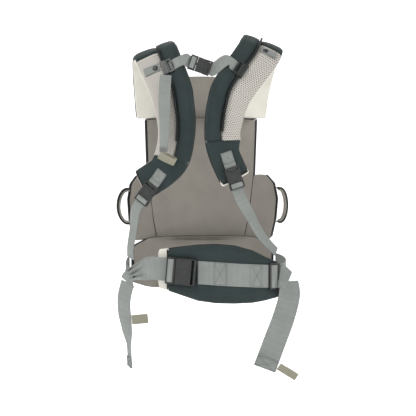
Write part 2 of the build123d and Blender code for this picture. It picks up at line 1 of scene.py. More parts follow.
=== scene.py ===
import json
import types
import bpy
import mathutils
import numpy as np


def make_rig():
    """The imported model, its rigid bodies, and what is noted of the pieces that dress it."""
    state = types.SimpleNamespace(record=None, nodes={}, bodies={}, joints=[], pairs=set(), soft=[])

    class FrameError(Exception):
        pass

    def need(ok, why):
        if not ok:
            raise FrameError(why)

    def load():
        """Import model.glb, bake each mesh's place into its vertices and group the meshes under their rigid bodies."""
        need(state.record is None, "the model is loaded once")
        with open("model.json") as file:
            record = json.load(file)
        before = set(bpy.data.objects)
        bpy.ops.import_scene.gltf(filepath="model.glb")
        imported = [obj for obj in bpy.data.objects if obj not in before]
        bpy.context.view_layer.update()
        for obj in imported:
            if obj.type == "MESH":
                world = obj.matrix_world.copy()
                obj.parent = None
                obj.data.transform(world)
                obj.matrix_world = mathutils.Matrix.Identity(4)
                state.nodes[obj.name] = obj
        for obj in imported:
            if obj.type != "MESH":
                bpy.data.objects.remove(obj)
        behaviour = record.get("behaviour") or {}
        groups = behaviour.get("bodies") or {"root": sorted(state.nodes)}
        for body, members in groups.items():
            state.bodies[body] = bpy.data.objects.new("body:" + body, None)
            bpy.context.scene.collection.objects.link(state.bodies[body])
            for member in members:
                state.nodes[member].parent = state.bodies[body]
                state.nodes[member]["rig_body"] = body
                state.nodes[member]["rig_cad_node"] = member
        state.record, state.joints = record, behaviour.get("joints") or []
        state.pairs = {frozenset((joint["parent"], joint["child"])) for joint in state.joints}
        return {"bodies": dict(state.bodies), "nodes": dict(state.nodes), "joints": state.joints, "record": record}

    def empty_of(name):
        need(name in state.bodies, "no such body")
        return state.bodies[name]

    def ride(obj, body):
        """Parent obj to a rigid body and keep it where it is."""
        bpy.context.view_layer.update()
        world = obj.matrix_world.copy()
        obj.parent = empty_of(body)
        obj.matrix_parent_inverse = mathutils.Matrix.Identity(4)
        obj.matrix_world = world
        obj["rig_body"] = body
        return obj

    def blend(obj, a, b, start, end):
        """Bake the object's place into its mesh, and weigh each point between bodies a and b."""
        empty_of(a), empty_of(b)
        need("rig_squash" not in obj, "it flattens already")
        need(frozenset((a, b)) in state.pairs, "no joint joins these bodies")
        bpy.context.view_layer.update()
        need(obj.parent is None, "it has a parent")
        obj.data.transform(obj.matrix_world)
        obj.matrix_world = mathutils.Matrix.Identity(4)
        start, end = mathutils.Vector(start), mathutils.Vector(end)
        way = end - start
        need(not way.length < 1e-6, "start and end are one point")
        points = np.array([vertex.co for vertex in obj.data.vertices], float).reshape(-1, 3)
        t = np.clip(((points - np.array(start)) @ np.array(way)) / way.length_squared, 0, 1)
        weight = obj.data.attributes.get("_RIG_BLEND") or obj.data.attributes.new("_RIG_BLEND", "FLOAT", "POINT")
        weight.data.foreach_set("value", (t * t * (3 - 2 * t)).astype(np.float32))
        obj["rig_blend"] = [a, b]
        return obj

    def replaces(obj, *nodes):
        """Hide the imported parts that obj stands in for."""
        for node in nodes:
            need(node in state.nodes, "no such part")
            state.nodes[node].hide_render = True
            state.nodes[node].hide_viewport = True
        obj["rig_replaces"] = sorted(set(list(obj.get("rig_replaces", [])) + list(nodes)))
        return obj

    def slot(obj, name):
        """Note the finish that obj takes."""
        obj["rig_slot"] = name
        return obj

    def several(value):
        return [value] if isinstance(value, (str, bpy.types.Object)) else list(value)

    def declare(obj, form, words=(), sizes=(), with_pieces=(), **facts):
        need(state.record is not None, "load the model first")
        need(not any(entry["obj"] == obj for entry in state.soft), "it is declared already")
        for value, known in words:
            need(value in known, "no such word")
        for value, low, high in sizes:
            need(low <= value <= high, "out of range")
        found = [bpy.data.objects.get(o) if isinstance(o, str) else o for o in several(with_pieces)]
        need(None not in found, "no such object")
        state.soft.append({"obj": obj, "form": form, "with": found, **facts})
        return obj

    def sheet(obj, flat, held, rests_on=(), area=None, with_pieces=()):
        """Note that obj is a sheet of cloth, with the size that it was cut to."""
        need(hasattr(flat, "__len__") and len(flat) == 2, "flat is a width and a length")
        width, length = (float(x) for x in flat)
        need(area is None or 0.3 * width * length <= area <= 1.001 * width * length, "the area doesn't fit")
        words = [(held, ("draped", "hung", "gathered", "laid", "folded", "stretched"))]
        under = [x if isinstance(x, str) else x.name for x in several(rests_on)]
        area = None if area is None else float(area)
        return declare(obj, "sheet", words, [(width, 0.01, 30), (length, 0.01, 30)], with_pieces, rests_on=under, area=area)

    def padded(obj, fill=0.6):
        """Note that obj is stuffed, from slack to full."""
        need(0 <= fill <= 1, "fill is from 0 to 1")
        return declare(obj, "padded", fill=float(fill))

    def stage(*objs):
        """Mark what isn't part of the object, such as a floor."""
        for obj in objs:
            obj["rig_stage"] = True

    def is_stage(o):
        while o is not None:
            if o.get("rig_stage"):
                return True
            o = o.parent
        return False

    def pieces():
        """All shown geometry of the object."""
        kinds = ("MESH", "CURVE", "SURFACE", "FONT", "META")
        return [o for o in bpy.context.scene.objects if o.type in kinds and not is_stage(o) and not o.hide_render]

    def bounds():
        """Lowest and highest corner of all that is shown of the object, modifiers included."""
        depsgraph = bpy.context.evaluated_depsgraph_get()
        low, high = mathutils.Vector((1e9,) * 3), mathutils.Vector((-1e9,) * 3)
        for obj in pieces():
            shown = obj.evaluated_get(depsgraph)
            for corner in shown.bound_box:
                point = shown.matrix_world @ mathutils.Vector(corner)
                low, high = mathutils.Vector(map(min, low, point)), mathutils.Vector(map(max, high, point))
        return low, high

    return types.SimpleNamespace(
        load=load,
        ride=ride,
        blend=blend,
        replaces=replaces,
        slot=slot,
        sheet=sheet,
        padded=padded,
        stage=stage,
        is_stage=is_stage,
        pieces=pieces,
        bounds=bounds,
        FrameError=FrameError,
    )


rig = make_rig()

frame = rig.load()

import bpy
import bmesh
import json
import math
from mathutils import Matrix, Vector, noise

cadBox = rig.bounds()
nodes = frame["nodes"]
mm = 0.001


# ---- camera, floor and lights

cameraView = {"place": (-0.385, -3.168, 0.356), "looksAt": (0.004, 0.0, 0.133), "lens": 124.9}

def addCamera(view):
    data = bpy.data.cameras.new("camera")
    data.lens = view["lens"]
    data.sensor_width = 36
    camera = bpy.data.objects.new("camera", data)
    bpy.context.scene.collection.objects.link(camera)
    camera.location = view["place"]
    aim = Vector(view["looksAt"]) - Vector(view["place"])
    camera.rotation_euler = aim.to_track_quat("-Z", "Y").to_euler()
    bpy.context.scene.camera = camera

addCamera(cameraView)

studio = {
    "lights": [   # name, place, aim, size, watts
        ("key", (-1.3, -1.2, 2.6), (0, 0, 0.15), 1.3, 46),
        ("fill", (1.9, -2.0, 1.0), (0, 0, 0.15), 1.8, 9),
        ("rim", (0.4, 2.2, 1.9), (0, 0, 0.25), 1.6, 26),
    ],
    "world": 0.55,
    "glow": 0.45,
    "floorZ": -0.242,
    "floorRadius": 4.2,
    "wall": ((5.0, 0.25), (5.6, 0.9), (5.9, 2.2), (6.0, 4.5)),   # radius and height where the floor curves up
    "paint": (0.9, 0.9, 0.9, 1),
    "paintRoughness": 0.95,
}

def addStudio(s):
    for name, place, aim, size, watts in s["lights"]:
        data = bpy.data.lights.new(name, "AREA")
        data.size = size
        data.energy = watts
        lamp = bpy.data.objects.new(name, data)
        bpy.context.scene.collection.objects.link(lamp)
        lamp.location = place
        lamp.rotation_euler = (Vector(aim) - Vector(place)).to_track_quat("-Z", "Y").to_euler()
    world = bpy.data.worlds.new("studio")
    world.use_nodes = True
    world.node_tree.nodes["Background"].inputs["Color"].default_value = (1, 1, 1, 1)
    world.node_tree.nodes["Background"].inputs["Strength"].default_value = s["world"]
    bpy.context.scene.world = world
    bm = bmesh.new()
    bmesh.ops.create_circle(bm, cap_ends=True, segments=64, radius=s["floorRadius"])
    for reach, rise in s["wall"]:
        rim = [e for e in bm.edges if e.is_boundary]
        top = bmesh.ops.extrude_edge_only(bm, edges=rim)["geom"]
        for v in (g for g in top if isinstance(g, bmesh.types.BMVert)):
            v.co = v.co.xy.normalized().to_3d() * reach + Vector((0, 0, rise))
    bmesh.ops.translate(bm, verts=bm.verts, vec=(0, 0, s["floorZ"]))
    mesh = bpy.data.meshes.new("floor")
    bm.to_mesh(mesh)
    bm.free()
    floor = bpy.data.objects.new("floor", mesh)
    bpy.context.scene.collection.objects.link(floor)
    paint = bpy.data.materials.new("floorPaint")
    paint.use_nodes = True
    shader = paint.node_tree.nodes["Principled BSDF"]
    shader.inputs["Base Color"].default_value = s["paint"]
    shader.inputs["Roughness"].default_value = s["paintRoughness"]
    shader.inputs["Emission Color"].default_value = (1, 1, 1, 1)
    shader.inputs["Emission Strength"].default_value = s["glow"]
    mesh.materials.append(paint)
    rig.stage(floor)

addStudio(studio)
bpy.context.scene.view_settings.view_transform = "Standard"
print("studio ready")


# ---- cloth and moulding materials

def tint(r, g, b):
    return tuple(((c / 255 + 0.055) / 1.055) ** 2.4 for c in (r, g, b)) + (1,)

def addNode(tree, kind, inputs=(), **settings):
    node = tree.nodes.new(kind)
    for key, value in settings.items():
        setattr(node, key, value)
    for i, value in enumerate(inputs):
        if value is None:
            continue
        if isinstance(value, bpy.types.NodeSocket):
            tree.links.new(value, node.inputs[i])
        else:
            node.inputs[i].default_value = value
    return node

def sums(tree, operation, *values):
    return addNode(tree, "ShaderNodeMath", values, operation=operation).outputs[0]

def newGroup(name, outputs):
    group = bpy.data.node_groups.new(name, "ShaderNodeTree")
    group.interface.new_socket("Place", in_out="INPUT", socket_type="NodeSocketVector")
    for out in outputs:
        group.interface.new_socket(out, in_out="OUTPUT", socket_type="NodeSocketFloat")
    start = group.nodes.new("NodeGroupInput")
    end = group.nodes.new("NodeGroupOutput")
    apart = addNode(group, "ShaderNodeSeparateXYZ", [start.outputs[0]])
    return group, start, end, apart, lambda operation, *values: sums(group, operation, *values)

def weaveGroup(name, pitch):     # threads that pass over and under each other
    group, start, end, apart, m = newGroup(name, ["Height", "Shade"])
    along = m("DIVIDE", apart.outputs[0], pitch)
    across = m("DIVIDE", apart.outputs[1], pitch)
    cell = m("ADD", m("FLOOR", along), m("FLOOR", across))
    odd = m("MODULO", m("ABSOLUTE", cell), 2.0)
    bumps = []
    for line in (along, across):
        offset = m("SUBTRACT", m("FRACT", line), 0.5)
        squared = m("MULTIPLY", offset, offset)
        bumps.append(m("SUBTRACT", 1.0, m("MULTIPLY", squared, 3.6)))
    difference = m("SUBTRACT", bumps[1], bumps[0])
    height = m("MULTIPLY_ADD", difference, odd, bumps[0])
    group.links.new(height, end.inputs["Height"])
    group.links.new(m("MULTIPLY_ADD", odd, 0.35, 0.5), end.inputs["Shade"])
    return group

def twillGroup(name, pitch, rib):     # slanting ridges that turn at every rib
    group, start, end, apart, m = newGroup(name, ["Height", "Shade"])
    ribPlace = m("DIVIDE", apart.outputs[1], rib)
    turn = m("ABSOLUTE", m("SUBTRACT", m("FRACT", ribPlace), 0.5))
    slant = m("MULTIPLY_ADD", turn, rib / pitch * 1.2, m("DIVIDE", apart.outputs[0], pitch))
    ridge = m("MULTIPLY_ADD", m("SINE", m("MULTIPLY", slant, 2 * math.pi)), 0.5, 0.5)
    groove = m("MINIMUM", m("MULTIPLY", m("SUBTRACT", 0.5, turn), 6.0), 1.0)
    group.links.new(m("MULTIPLY", ridge, groove), end.inputs["Height"])
    group.links.new(m("MULTIPLY_ADD", ridge, 0.5, 0.25), end.inputs["Shade"])
    return group

holeEdge = 0.07

def holesGroup(name, alongPitch, acrossPitch, holeSize):     # staggered rows of oval holes
    group, start, end, apart, m = newGroup(name, ["Height", "Shade"])
    row = m("DIVIDE", apart.outputs[0], alongPitch)
    shift = m("MULTIPLY", m("MODULO", m("ABSOLUTE", m("FLOOR", row)), 2.0), 0.5)
    column = m("ADD", m("DIVIDE", apart.outputs[1], acrossPitch), shift)
    u = m("SUBTRACT", m("FRACT", row), 0.5)
    v = m("SUBTRACT", m("FRACT", column), 0.5)
    tall = m("MULTIPLY", m("MULTIPLY", v, v), 1.5)
    reach = m("SQRT", m("ADD", m("MULTIPLY", u, u), tall))
    solid = addNode(group, "ShaderNodeMapRange", [reach, holeSize - holeEdge, holeSize + holeEdge, 0.0, 1.0],
                    interpolation_type="SMOOTHSTEP").outputs[0]
    group.links.new(solid, end.inputs["Height"])
    group.links.new(solid, end.inputs["Shade"])
    return group

def fibreGroup():     # uneven dye over a hand's width, and single fibres
    group, start, end, apart, m = newGroup("fibres", ["Blotch", "Fuzz"])
    wide = addNode(group, "ShaderNodeTexNoise", [start.outputs[0]])
    wide.inputs["Scale"].default_value = 28
    wide.inputs["Detail"].default_value = 3
    fine = addNode(group, "ShaderNodeTexNoise", [start.outputs[0]])
    fine.inputs["Scale"].default_value = 1400
    fine.inputs["Detail"].default_value = 2
    group.links.new(wide.outputs[0], end.inputs["Blotch"])
    group.links.new(fine.outputs[0], end.inputs["Fuzz"])
    return group

fibres = fibreGroup()

def newShader(name):
    mat = bpy.data.materials.new(name)
    mat.use_nodes = True
    return mat, mat.node_tree, mat.node_tree.nodes["Principled BSDF"]

def colourBetween(tree, shader, factor, dark, light):
    colour = addNode(tree, "ShaderNodeMix", data_type="RGBA")
    tree.links.new(factor, colour.inputs["Factor"])
    colour.inputs[6].default_value = tint(*dark)
    colour.inputs[7].default_value = tint(*light)
    tree.links.new(colour.outputs[2], shader.inputs["Base Color"])

def bumpFrom(tree, shader, height, strength, depth):
    bump = addNode(tree, "ShaderNodeBump")
    bump.inputs["Strength"].default_value = strength
    bump.inputs["Distance"].default_value = depth
    tree.links.new(height, bump.inputs["Height"])
    tree.links.new(bump.outputs[0], shader.inputs["Normal"])

clothSheen = {"specular": 0.25, "sheenRoughness": 0.5, "fuzzHeight": 0.35}
bandWave = {"perMetre": 520.0, "wander": 5.0}

def clothMaterial(name, dark, light, pattern, s):
    mat, tree, shader = newShader(name)
    place = addNode(tree, "ShaderNodeAttribute", attribute_name="place").outputs["Vector"]
    knit = addNode(tree, "ShaderNodeGroup", node_tree=pattern)
    fibre = addNode(tree, "ShaderNodeGroup", node_tree=fibres)
    for node in (knit, fibre):
        tree.links.new(place, node.inputs[0])
    shade = sums(tree, "MULTIPLY_ADD", knit.outputs["Shade"], s["patternShade"],
                 sums(tree, "MULTIPLY", fibre.outputs["Blotch"], s["blotch"]))
    shade = sums(tree, "MULTIPLY_ADD", fibre.outputs["Fuzz"], s["fuzz"], shade)
    if s.get("bands"):     # slow light and dark bands where the webbing was wound
        run = addNode(tree, "ShaderNodeSeparateXYZ", [place]).outputs[0]
        wander = sums(tree, "MULTIPLY", fibre.outputs["Blotch"], bandWave["wander"])
        wave = sums(tree, "SINE", sums(tree, "MULTIPLY_ADD", run, bandWave["perMetre"], wander))
        shade = sums(tree, "MULTIPLY_ADD", wave, s["bands"], shade)
    colourBetween(tree, shader, shade, dark, light)
    height = sums(tree, "MULTIPLY_ADD", fibre.outputs["Fuzz"], clothSheen["fuzzHeight"], knit.outputs["Height"])
    bumpFrom(tree, shader, height, s["bump"], s["depth"])
    shader.inputs["Roughness"].default_value = s["roughness"]
    shader.inputs["Specular IOR Level"].default_value = clothSheen["specular"]
    shader.inputs["Sheen Weight"].default_value = s["sheen"]
    shader.inputs["Sheen Roughness"].default_value = clothSheen["sheenRoughness"]
    return mat

# convex edges, between edgeFrom and edgeTo in pointiness, are mixed towards the light colour: a painted edge highlight
moulded = {"coarse": 60, "fine": 1800, "edgeFrom": 0.53, "edgeTo": 0.62, "wear": 0.5, "grainDepth": 0.0002}

def mouldingMaterial(name, dark, light, roughness, grain):
    mat, tree, shader = newShader(name)
    place = addNode(tree, "ShaderNodeTexCoord").outputs["Object"]
    coarse = addNode(tree, "ShaderNodeTexNoise", [place])
    coarse.inputs["Scale"].default_value = moulded["coarse"]
    fine = addNode(tree, "ShaderNodeTexNoise", [place])
    fine.inputs["Scale"].default_value = moulded["fine"]
    # lighter colour on convex edges, found by pointiness: a painted edge highlight
    pointed = addNode(tree, "ShaderNodeNewGeometry").outputs["Pointiness"]
    paintedEdgeHighlight = addNode(tree, "ShaderNodeMapRange",
                   [pointed, moulded["edgeFrom"], moulded["edgeTo"], 0.0, moulded["wear"]]).outputs[0]
    colourBetween(tree, shader, sums(tree, "MULTIPLY_ADD", coarse.outputs[0], 0.5, paintedEdgeHighlight), dark, light)
    bumpFrom(tree, shader, fine.outputs[0], grain, moulded["grainDepth"])
    rough = addNode(tree, "ShaderNodeMapRange", [coarse.outputs[0], 0.3, 0.7, roughness - 0.07, roughness + 0.08])
    tree.links.new(rough.outputs[0], shader.inputs["Roughness"])
    return mat

fineWeave = weaveGroup("fineWeave", 0.0009)
softKnit = weaveGroup("softKnit", 0.0014)
twill = twillGroup("twill", 0.0017, 0.0036)
elasticRibs = twillGroup("elasticRibs", 0.0011, 0.0022)
openMesh = holesGroup("openMesh", 0.0042, 0.0046, 0.31)

plainCloth = {"patternShade": 0.4, "blotch": 0.4, "fuzz": 0.2, "bump": 0.35, "depth": 0.0004, "roughness": 0.85,
              "sheen": 0.04}
finish = {
    "slate": clothMaterial("slateCloth", (23, 31, 32), (44, 54, 54), fineWeave,
        dict(plainCloth, patternShade=0.3, blotch=0.6)),
    "mesh": clothMaterial("airMesh", (52, 50, 45), (178, 174, 167), openMesh,
        dict(plainCloth, patternShade=0.85, blotch=0.2, fuzz=0.1, bump=0.9, depth=0.0011, roughness=0.8, sheen=0.03)),
    "cream": clothMaterial("creamLining", (182, 179, 169), (216, 214, 205), softKnit,
        dict(plainCloth, blotch=0.5, bump=0.3, roughness=0.9, sheen=0.05)),
    "taupe": clothMaterial("taupeLining", (104, 100, 94), (138, 134, 127), softKnit,
        dict(plainCloth, blotch=0.5, fuzz=0.25, bump=0.3, roughness=0.92, sheen=0.06)),
    "webbing": clothMaterial("webbingTwill", (88, 92, 91), (142, 146, 142), twill,
        dict(plainCloth, patternShade=0.5, fuzz=0.15, bands=0.025, bump=0.6, depth=0.0005,
             roughness=0.68, sheen=0.03)),
    "elastic": clothMaterial("elasticRib", (97, 96, 81), (155, 152, 135), elasticRibs,
        dict(plainCloth, patternShade=0.6, blotch=0.3, fuzz=0.15, bump=0.6, depth=0.0005,
             roughness=0.75, sheen=0.03)),
    "binding": clothMaterial("darkBinding", (10, 11, 12), (24, 27, 28), fineWeave,
        dict(plainCloth, bump=0.4, depth=0.0003, roughness=0.7, sheen=0.03)),
    "thread": clothMaterial("sewingThread", (50, 54, 53), (78, 82, 81), fineWeave,
        dict(plainCloth, patternShade=0.3, blotch=0.3, fuzz=0.3, bump=0.3, depth=0.0002, roughness=0.6, sheen=0.03)),
    "darkThread": clothMaterial("darkThread", (13, 18, 18), (28, 36, 36), fineWeave,
        dict(plainCloth, patternShade=0.3, blotch=0.3, fuzz=0.3, bump=0.3, depth=0.0002, roughness=0.6, sheen=0.03)),
    "buckle": mouldingMaterial("bucklePlastic", (9, 10, 10), (30, 32, 32), 0.42, 0.25),
    "stud": mouldingMaterial("studPlastic", (12, 12, 13), (40, 40, 42), 0.3, 0.1),
    "studMetal": mouldingMaterial("studMetal", (150, 150, 150), (205, 205, 205), 0.35, 0.1),
}
finish["studMetal"].node_tree.nodes["Principled BSDF"].inputs["Metallic"].default_value = 1
slots = {"slate": "slate_fabric", "mesh": "air_mesh", "cream": "cream_lining", "taupe": "taupe_lining",
         "webbing": "webbing", "elastic": "elastic", "binding": "black_piping", "thread": "webbing",
         "darkThread": "slate_fabric", "buckle": "buckle_plastic", "stud": "stud_plastic", "studMetal": "stud_metal"}

keptNodes = {"buckle": ["left_chest_slider", "right_chest_slider", "tri_glide"]
             + [b + "_latch_" + c for b in ("waist", "chest", "left_shoulder", "right_shoulder") for c in "ab"],
             "studMetal": ["snap_studs"]}
for look, names in keptNodes.items():
    for name in names:
        mesh = nodes[name].data
        mesh.materials.clear()
        mesh.materials.append(finish[look])
print("materials ready")


# ---- making pieces

def keepPiece(name, bm, look, body, replaced=(), smooth=True):
    bmesh.ops.recalc_face_normals(bm, faces=bm.faces)
    mesh = bpy.data.meshes.new(name)
    bm.to_mesh(mesh)
    bm.free()
    mesh.polygons.foreach_set("use_smooth", [smooth] * len(mesh.polygons))
    piece = bpy.data.objects.new(name, mesh)
    bpy.context.scene.collection.objects.link(piece)
    mesh.materials.append(finish[look])
    if body:
        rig.ride(piece, body)
    if replaced:
        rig.replaces(piece, *replaced)
    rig.slot(piece, slots[look])
    return piece

def softer(piece, levels=1):
    smoothing = piece.modifiers.new("smoothing", "SUBSURF")
    smoothing.levels = levels
    smoothing.render_levels = levels
    return piece

def throughPoints(points, t):     # a smooth line that passes through every point
    i = max(0, min(int(t), len(points) - 2))
    f = t - i
    a, b, c, d = points[max(i - 1, 0)], points[i], points[i + 1], points[min(i + 2, len(points) - 1)]
    return 0.5 * ((2 * b) + (c - a) * f + (2 * a - 5 * b + 4 * c - d) * f * f + (3 * b - a - 3 * c + d) * f ** 3)

def betweenPairs(pairs, t):     # value at t in a list of (t, value)
    for (t0, v0), (t1, v1) in zip(pairs, pairs[1:]):
        if t <= t1:
            f = max(0.0, (t - t0) / (t1 - t0))
            return v0 + (v1 - v0) * f
    return pairs[-1][1]

def around(middle, half):
    return (middle - half, middle + half)

def makeRoute(frames):     # frames hold a centre, the way across and the way out
    centres = [f[0] for f in frames]
    lengths = [0.0]
    for a, b in zip(centres, centres[1:]):
        lengths.append(lengths[-1] + (b - a).length)
    last = len(frames) - 1

    def world(t, across, out):
        t = max(0.0, min(t, last))
        i = min(int(t), last - 1)
        f = t - i
        side = frames[i][1].lerp(frames[i + 1][1], f).normalized()
        away = frames[i][2].lerp(frames[i + 1][2], f).normalized()
        return throughPoints(centres, t) + side * across + away * out

    def metres(t):
        return betweenPairs(list(enumerate(lengths)), t)

    return {"world": world, "metres": metres, "last": last}

def webbingRoute(points, acrosses):     # points in millimetres
    points = [Vector(p) * mm for p in points]
    frames = []
    for i, p in enumerate(points):
        along = (points[min(i + 1, len(points) - 1)] - points[max(i - 1, 0)]).normalized()
        side = Vector(acrosses[i])
        side = (side - along * side.dot(along)).normalized()
        frames.append((p, side, along.cross(side)))
    return makeRoute(frames)

def mixedShare(share, gather):     # rings stand closer together at both ends
    return share * (1 - gather) + gather * (0.5 - 0.5 * math.cos(math.pi * share))

def padForm(route, start, end, edgesAt, heightsAt, s):
    # a closed, crowned form: edgesAt and heightsAt give its sides and its under and upper face
    bm = bmesh.new()
    place = bm.verts.layers.float_vector.new("place")
    bmesh.ops.create_cone(bm, cap_ends=True, segments=s["ring"], radius1=1, radius2=1, depth=1)
    walls = [e for e in bm.edges if abs(e.verts[0].co.z - e.verts[1].co.z) > 0.5]
    bmesh.ops.subdivide_edges(bm, edges=walls, cuts=s["rings"] - 1)
    length = route["metres"](end) - route["metres"](start)
    power = 2 / s.get("square", 3.2)
    for v in bm.verts:
        share = mixedShare(v.co.z + 0.5, s.get("gather", 0.35))
        angle = math.atan2(v.co.y, v.co.x)
        t = start + (end - start) * share
        near = min(share, 1 - share) * length / s.get("endRound", 0.008)
        close = math.sqrt(max(0.0, 1 - (1 - min(near, 1)) ** 2))
        low, high = edgesAt(t)
        under, upper = heightsAt(t)
        x = math.copysign(abs(math.cos(angle)) ** power, math.cos(angle))
        y = math.copysign(abs(math.sin(angle)) ** power, math.sin(angle))
        half = (high - low) / 2 - s.get("corner", 0.003) * (1 - close)
        thick = (upper - under) / 2 * (s.get("endThick", 0.35) + (1 - s.get("endThick", 0.35)) * close)
        across = (low + high) / 2 + half * x
        out = (under + upper) / 2 + thick * y
        if y > 0:
            out += s.get("crown", 0) * (1 - x * x) * close
        metres = route["metres"](t)
        ripple = noise.noise(Vector((metres, across, 0)) * s.get("rippleScale", 40)) * s.get("ripple", 0)
        out += ripple * (1 if y > 0 else 0.3)
        v.co = route["world"](t, across, out)
        v[place] = (metres, across, out)
    return bm

def stripForm(route, start, end, widthAt, s, bulge=None, middle=0.0):
    # one layer of cloth or webbing; the piece gets its thickness from a modifier
    bm = bmesh.new()
    place = bm.verts.layers.float_vector.new("place")
    bmesh.ops.create_grid(bm, x_segments=s["steps"], y_segments=s["across"], size=0.5)
    for v in bm.verts:
        t = start + (end - start) * (v.co.x + 0.5)
        low, high = widthAt(t)
        share = v.co.y + 0.5
        across = low + (high - low) * share
        out = middle + (bulge(t, share * 2 - 1) if bulge else 0.0)
        v.co = route["world"](t, across, out)
        v[place] = (route["metres"](t), across, out)
    return bm

def thicken(piece, thickness, rounding=0.0):
    wall = piece.modifiers.new("wall", "SOLIDIFY")
    wall.thickness = thickness
    wall.offset = 0
    if rounding:
        edge = piece.modifiers.new("edge", "BEVEL")
        edge.width = rounding
        edge.segments = 2
        edge.limit_method = "ANGLE"
    return piece

def joinForm(bm, part):
    mesh = bpy.data.meshes.new("part")
    part.to_mesh(mesh)
    part.free()
    bm.from_mesh(mesh)
    bpy.data.meshes.remove(mesh)

def roundSharpEdges(bm, rounding):
    sharp = [e for e in bm.edges if e.is_valid and e.calc_face_angle(0) > 0.6]
    bmesh.ops.bevel(bm, geom=sharp, offset=rounding, segments=3, profile=0.5, affect="EDGES", material=-1,
                    clamp_overlap=True)

def addBlock(bm, low, high, rounding):     # a moulded bar with rounded edges
    part = bmesh.new()
    bmesh.ops.create_cube(part, size=1)
    for v in part.verts:
        share = v.co + Vector((0.5, 0.5, 0.5))
        v.co = Vector(low[i] + (high[i] - low[i]) * share[i] for i in range(3))
    roundSharpEdges(part, rounding)
    joinForm(bm, part)

stitches = {}
stitch = {"pitch": 0.0042, "lift": 0.0003, "long": 0.38, "wide": 0.00055, "high": 0.0004, "samples": 24}

def sew(look, body, route, path):     # path holds (t, across, out)
    key = (look, body)
    if key not in stitches:
        stitches[key] = bmesh.new()
    bm = stitches[key]
    pitch, lift, count = stitch["pitch"], stitch["lift"], stitch["samples"]
    size = Matrix.Diagonal((pitch * stitch["long"], stitch["wide"], stitch["high"], 1))
    spots = []
    for (t0, c0, h0), (t1, c1, h1) in zip(path, path[1:]):
        for k in range(count):
            f = k / count
            spots.append(route["world"](t0 + (t1 - t0) * f, c0 + (c1 - c0) * f, h0 + (h1 - h0) * f + lift))
    spots.append(route["world"](path[-1][0], path[-1][1], path[-1][2] + lift))
    travelled = pitch / 2
    for a, b in zip(spots, spots[1:]):
        step = (b - a).length
        if step < 1e-7:
            continue
        while travelled < step:
            centre = a.lerp(b, travelled / step)
            turn = (b - a).to_track_quat("X", "Z").to_matrix().to_4x4()
            bmesh.ops.create_icosphere(bm, subdivisions=1, radius=1,
                                       matrix=Matrix.Translation(centre) @ turn @ size)
            travelled += pitch
        travelled -= step

def boxStitch(body, route, t0, t1, c, out):     # the crossed box that holds webbing down
    sew("thread", body, route, [(t0, -c, out), (t1, -c, out), (t1, c, out), (t0, c, out), (t0, -c, out)])
    sew("thread", body, route, [(t0, -c, out), (t1, c, out)])
    sew("thread", body, route, [(t0, c, out), (t1, -c, out)])

def flatEdges(width):
    return lambda t: around(0, width / 2)

def webbingPiece(name, form, body, replaced=(), thickness=0.0016, rounding=0.0004):
    return thicken(keepPiece(name, form, "webbing", body, replaced), thickness, rounding)

trimStyle = {"ring": 10, "rings": 60, "square": 2.4, "endRound": 0.002, "corner": 0.0005, "gather": 0}


# ---- shoulder straps

strapShape = {
    "left": {
        "side": -1, "capEnd": 5.72, "meshEnd": 10.9, "pipeStart": 5.1,
        "route": [(-98, 113, 330), (-102, 103, 385), (-107, 76, 433), (-110, 42, 466), (-111, 6, 481),
                  (-108, -26, 479), (-105, -52, 464), (-84, -101, 398), (-78, -110, 362), (-74, -112, 325),
                  (-76, -111, 284), (-86, -108, 244)],
        "end": [(-86, -108, 244), (-107, -103, 220), (-132, -92, 202), (-150, -80, 190)],
    },
    "right": {
        "side": 1, "capEnd": 5.1, "meshEnd": 10.95, "pipeStart": 4.5,
        "route": [(98, 113, 330), (103, 104, 388), (110, 78, 441), (116, 42, 480), (119, 4, 497), (113, -30, 491),
                  (95, -62, 467), (41, -103, 398), (27, -110, 360), (21, -112, 328), (19, -113, 304),
                  (20, -113, 284)],
        "end": [(20, -113, 284), (26, -113, 256), (38, -111, 228), (52, -108, 200)],
    },
}
strapPad = {"thick": 0.012, "mesh": (0.054, 0.041), "band": (0.040, 0.035), "end": 0.033, "lining": 0.002,
            "narrowFrom": 6, "narrowOver": 4, "core": 375, "lean": 0.6, "pipe": 0.0025, "pipeOut": 0.0105}

def strapFrames(points, side):
    points = [Vector(p) for p in points]
    frames = []
    for i, p in enumerate(points):
        along = (points[min(i + 1, len(points) - 1)] - points[max(i - 1, 0)]).normalized()
        away = p - Vector((p.x * strapPad["lean"], 0, min(p.z, strapPad["core"])))
        away = (away - along * away.dot(along)).normalized()
        frames.append([p * mm, away.cross(along) * side, away])
    return frames

def strapRoute(s):
    frames = strapFrames(s["route"], s["side"])
    front = frames[0]
    front[2] = Vector((front[0].x, front[0].y + 0.094, 0)).normalized()
    front[1] = front[2].cross(Vector((0, 0, 1))) * s["side"]
    along = (frames[7][0] - frames[6][0]).normalized()     # the chest slider's straight run
    mean = frames[6][2] + frames[7][2]
    mean = (mean - along * mean.dot(along)).normalized()
    for f in frames[6:8]:
        f[2] = mean
        f[1] = mean.cross(along) * s["side"]
    return makeRoute([tuple(f) for f in frames + strapFrames(s["end"], s["side"])[1:]])

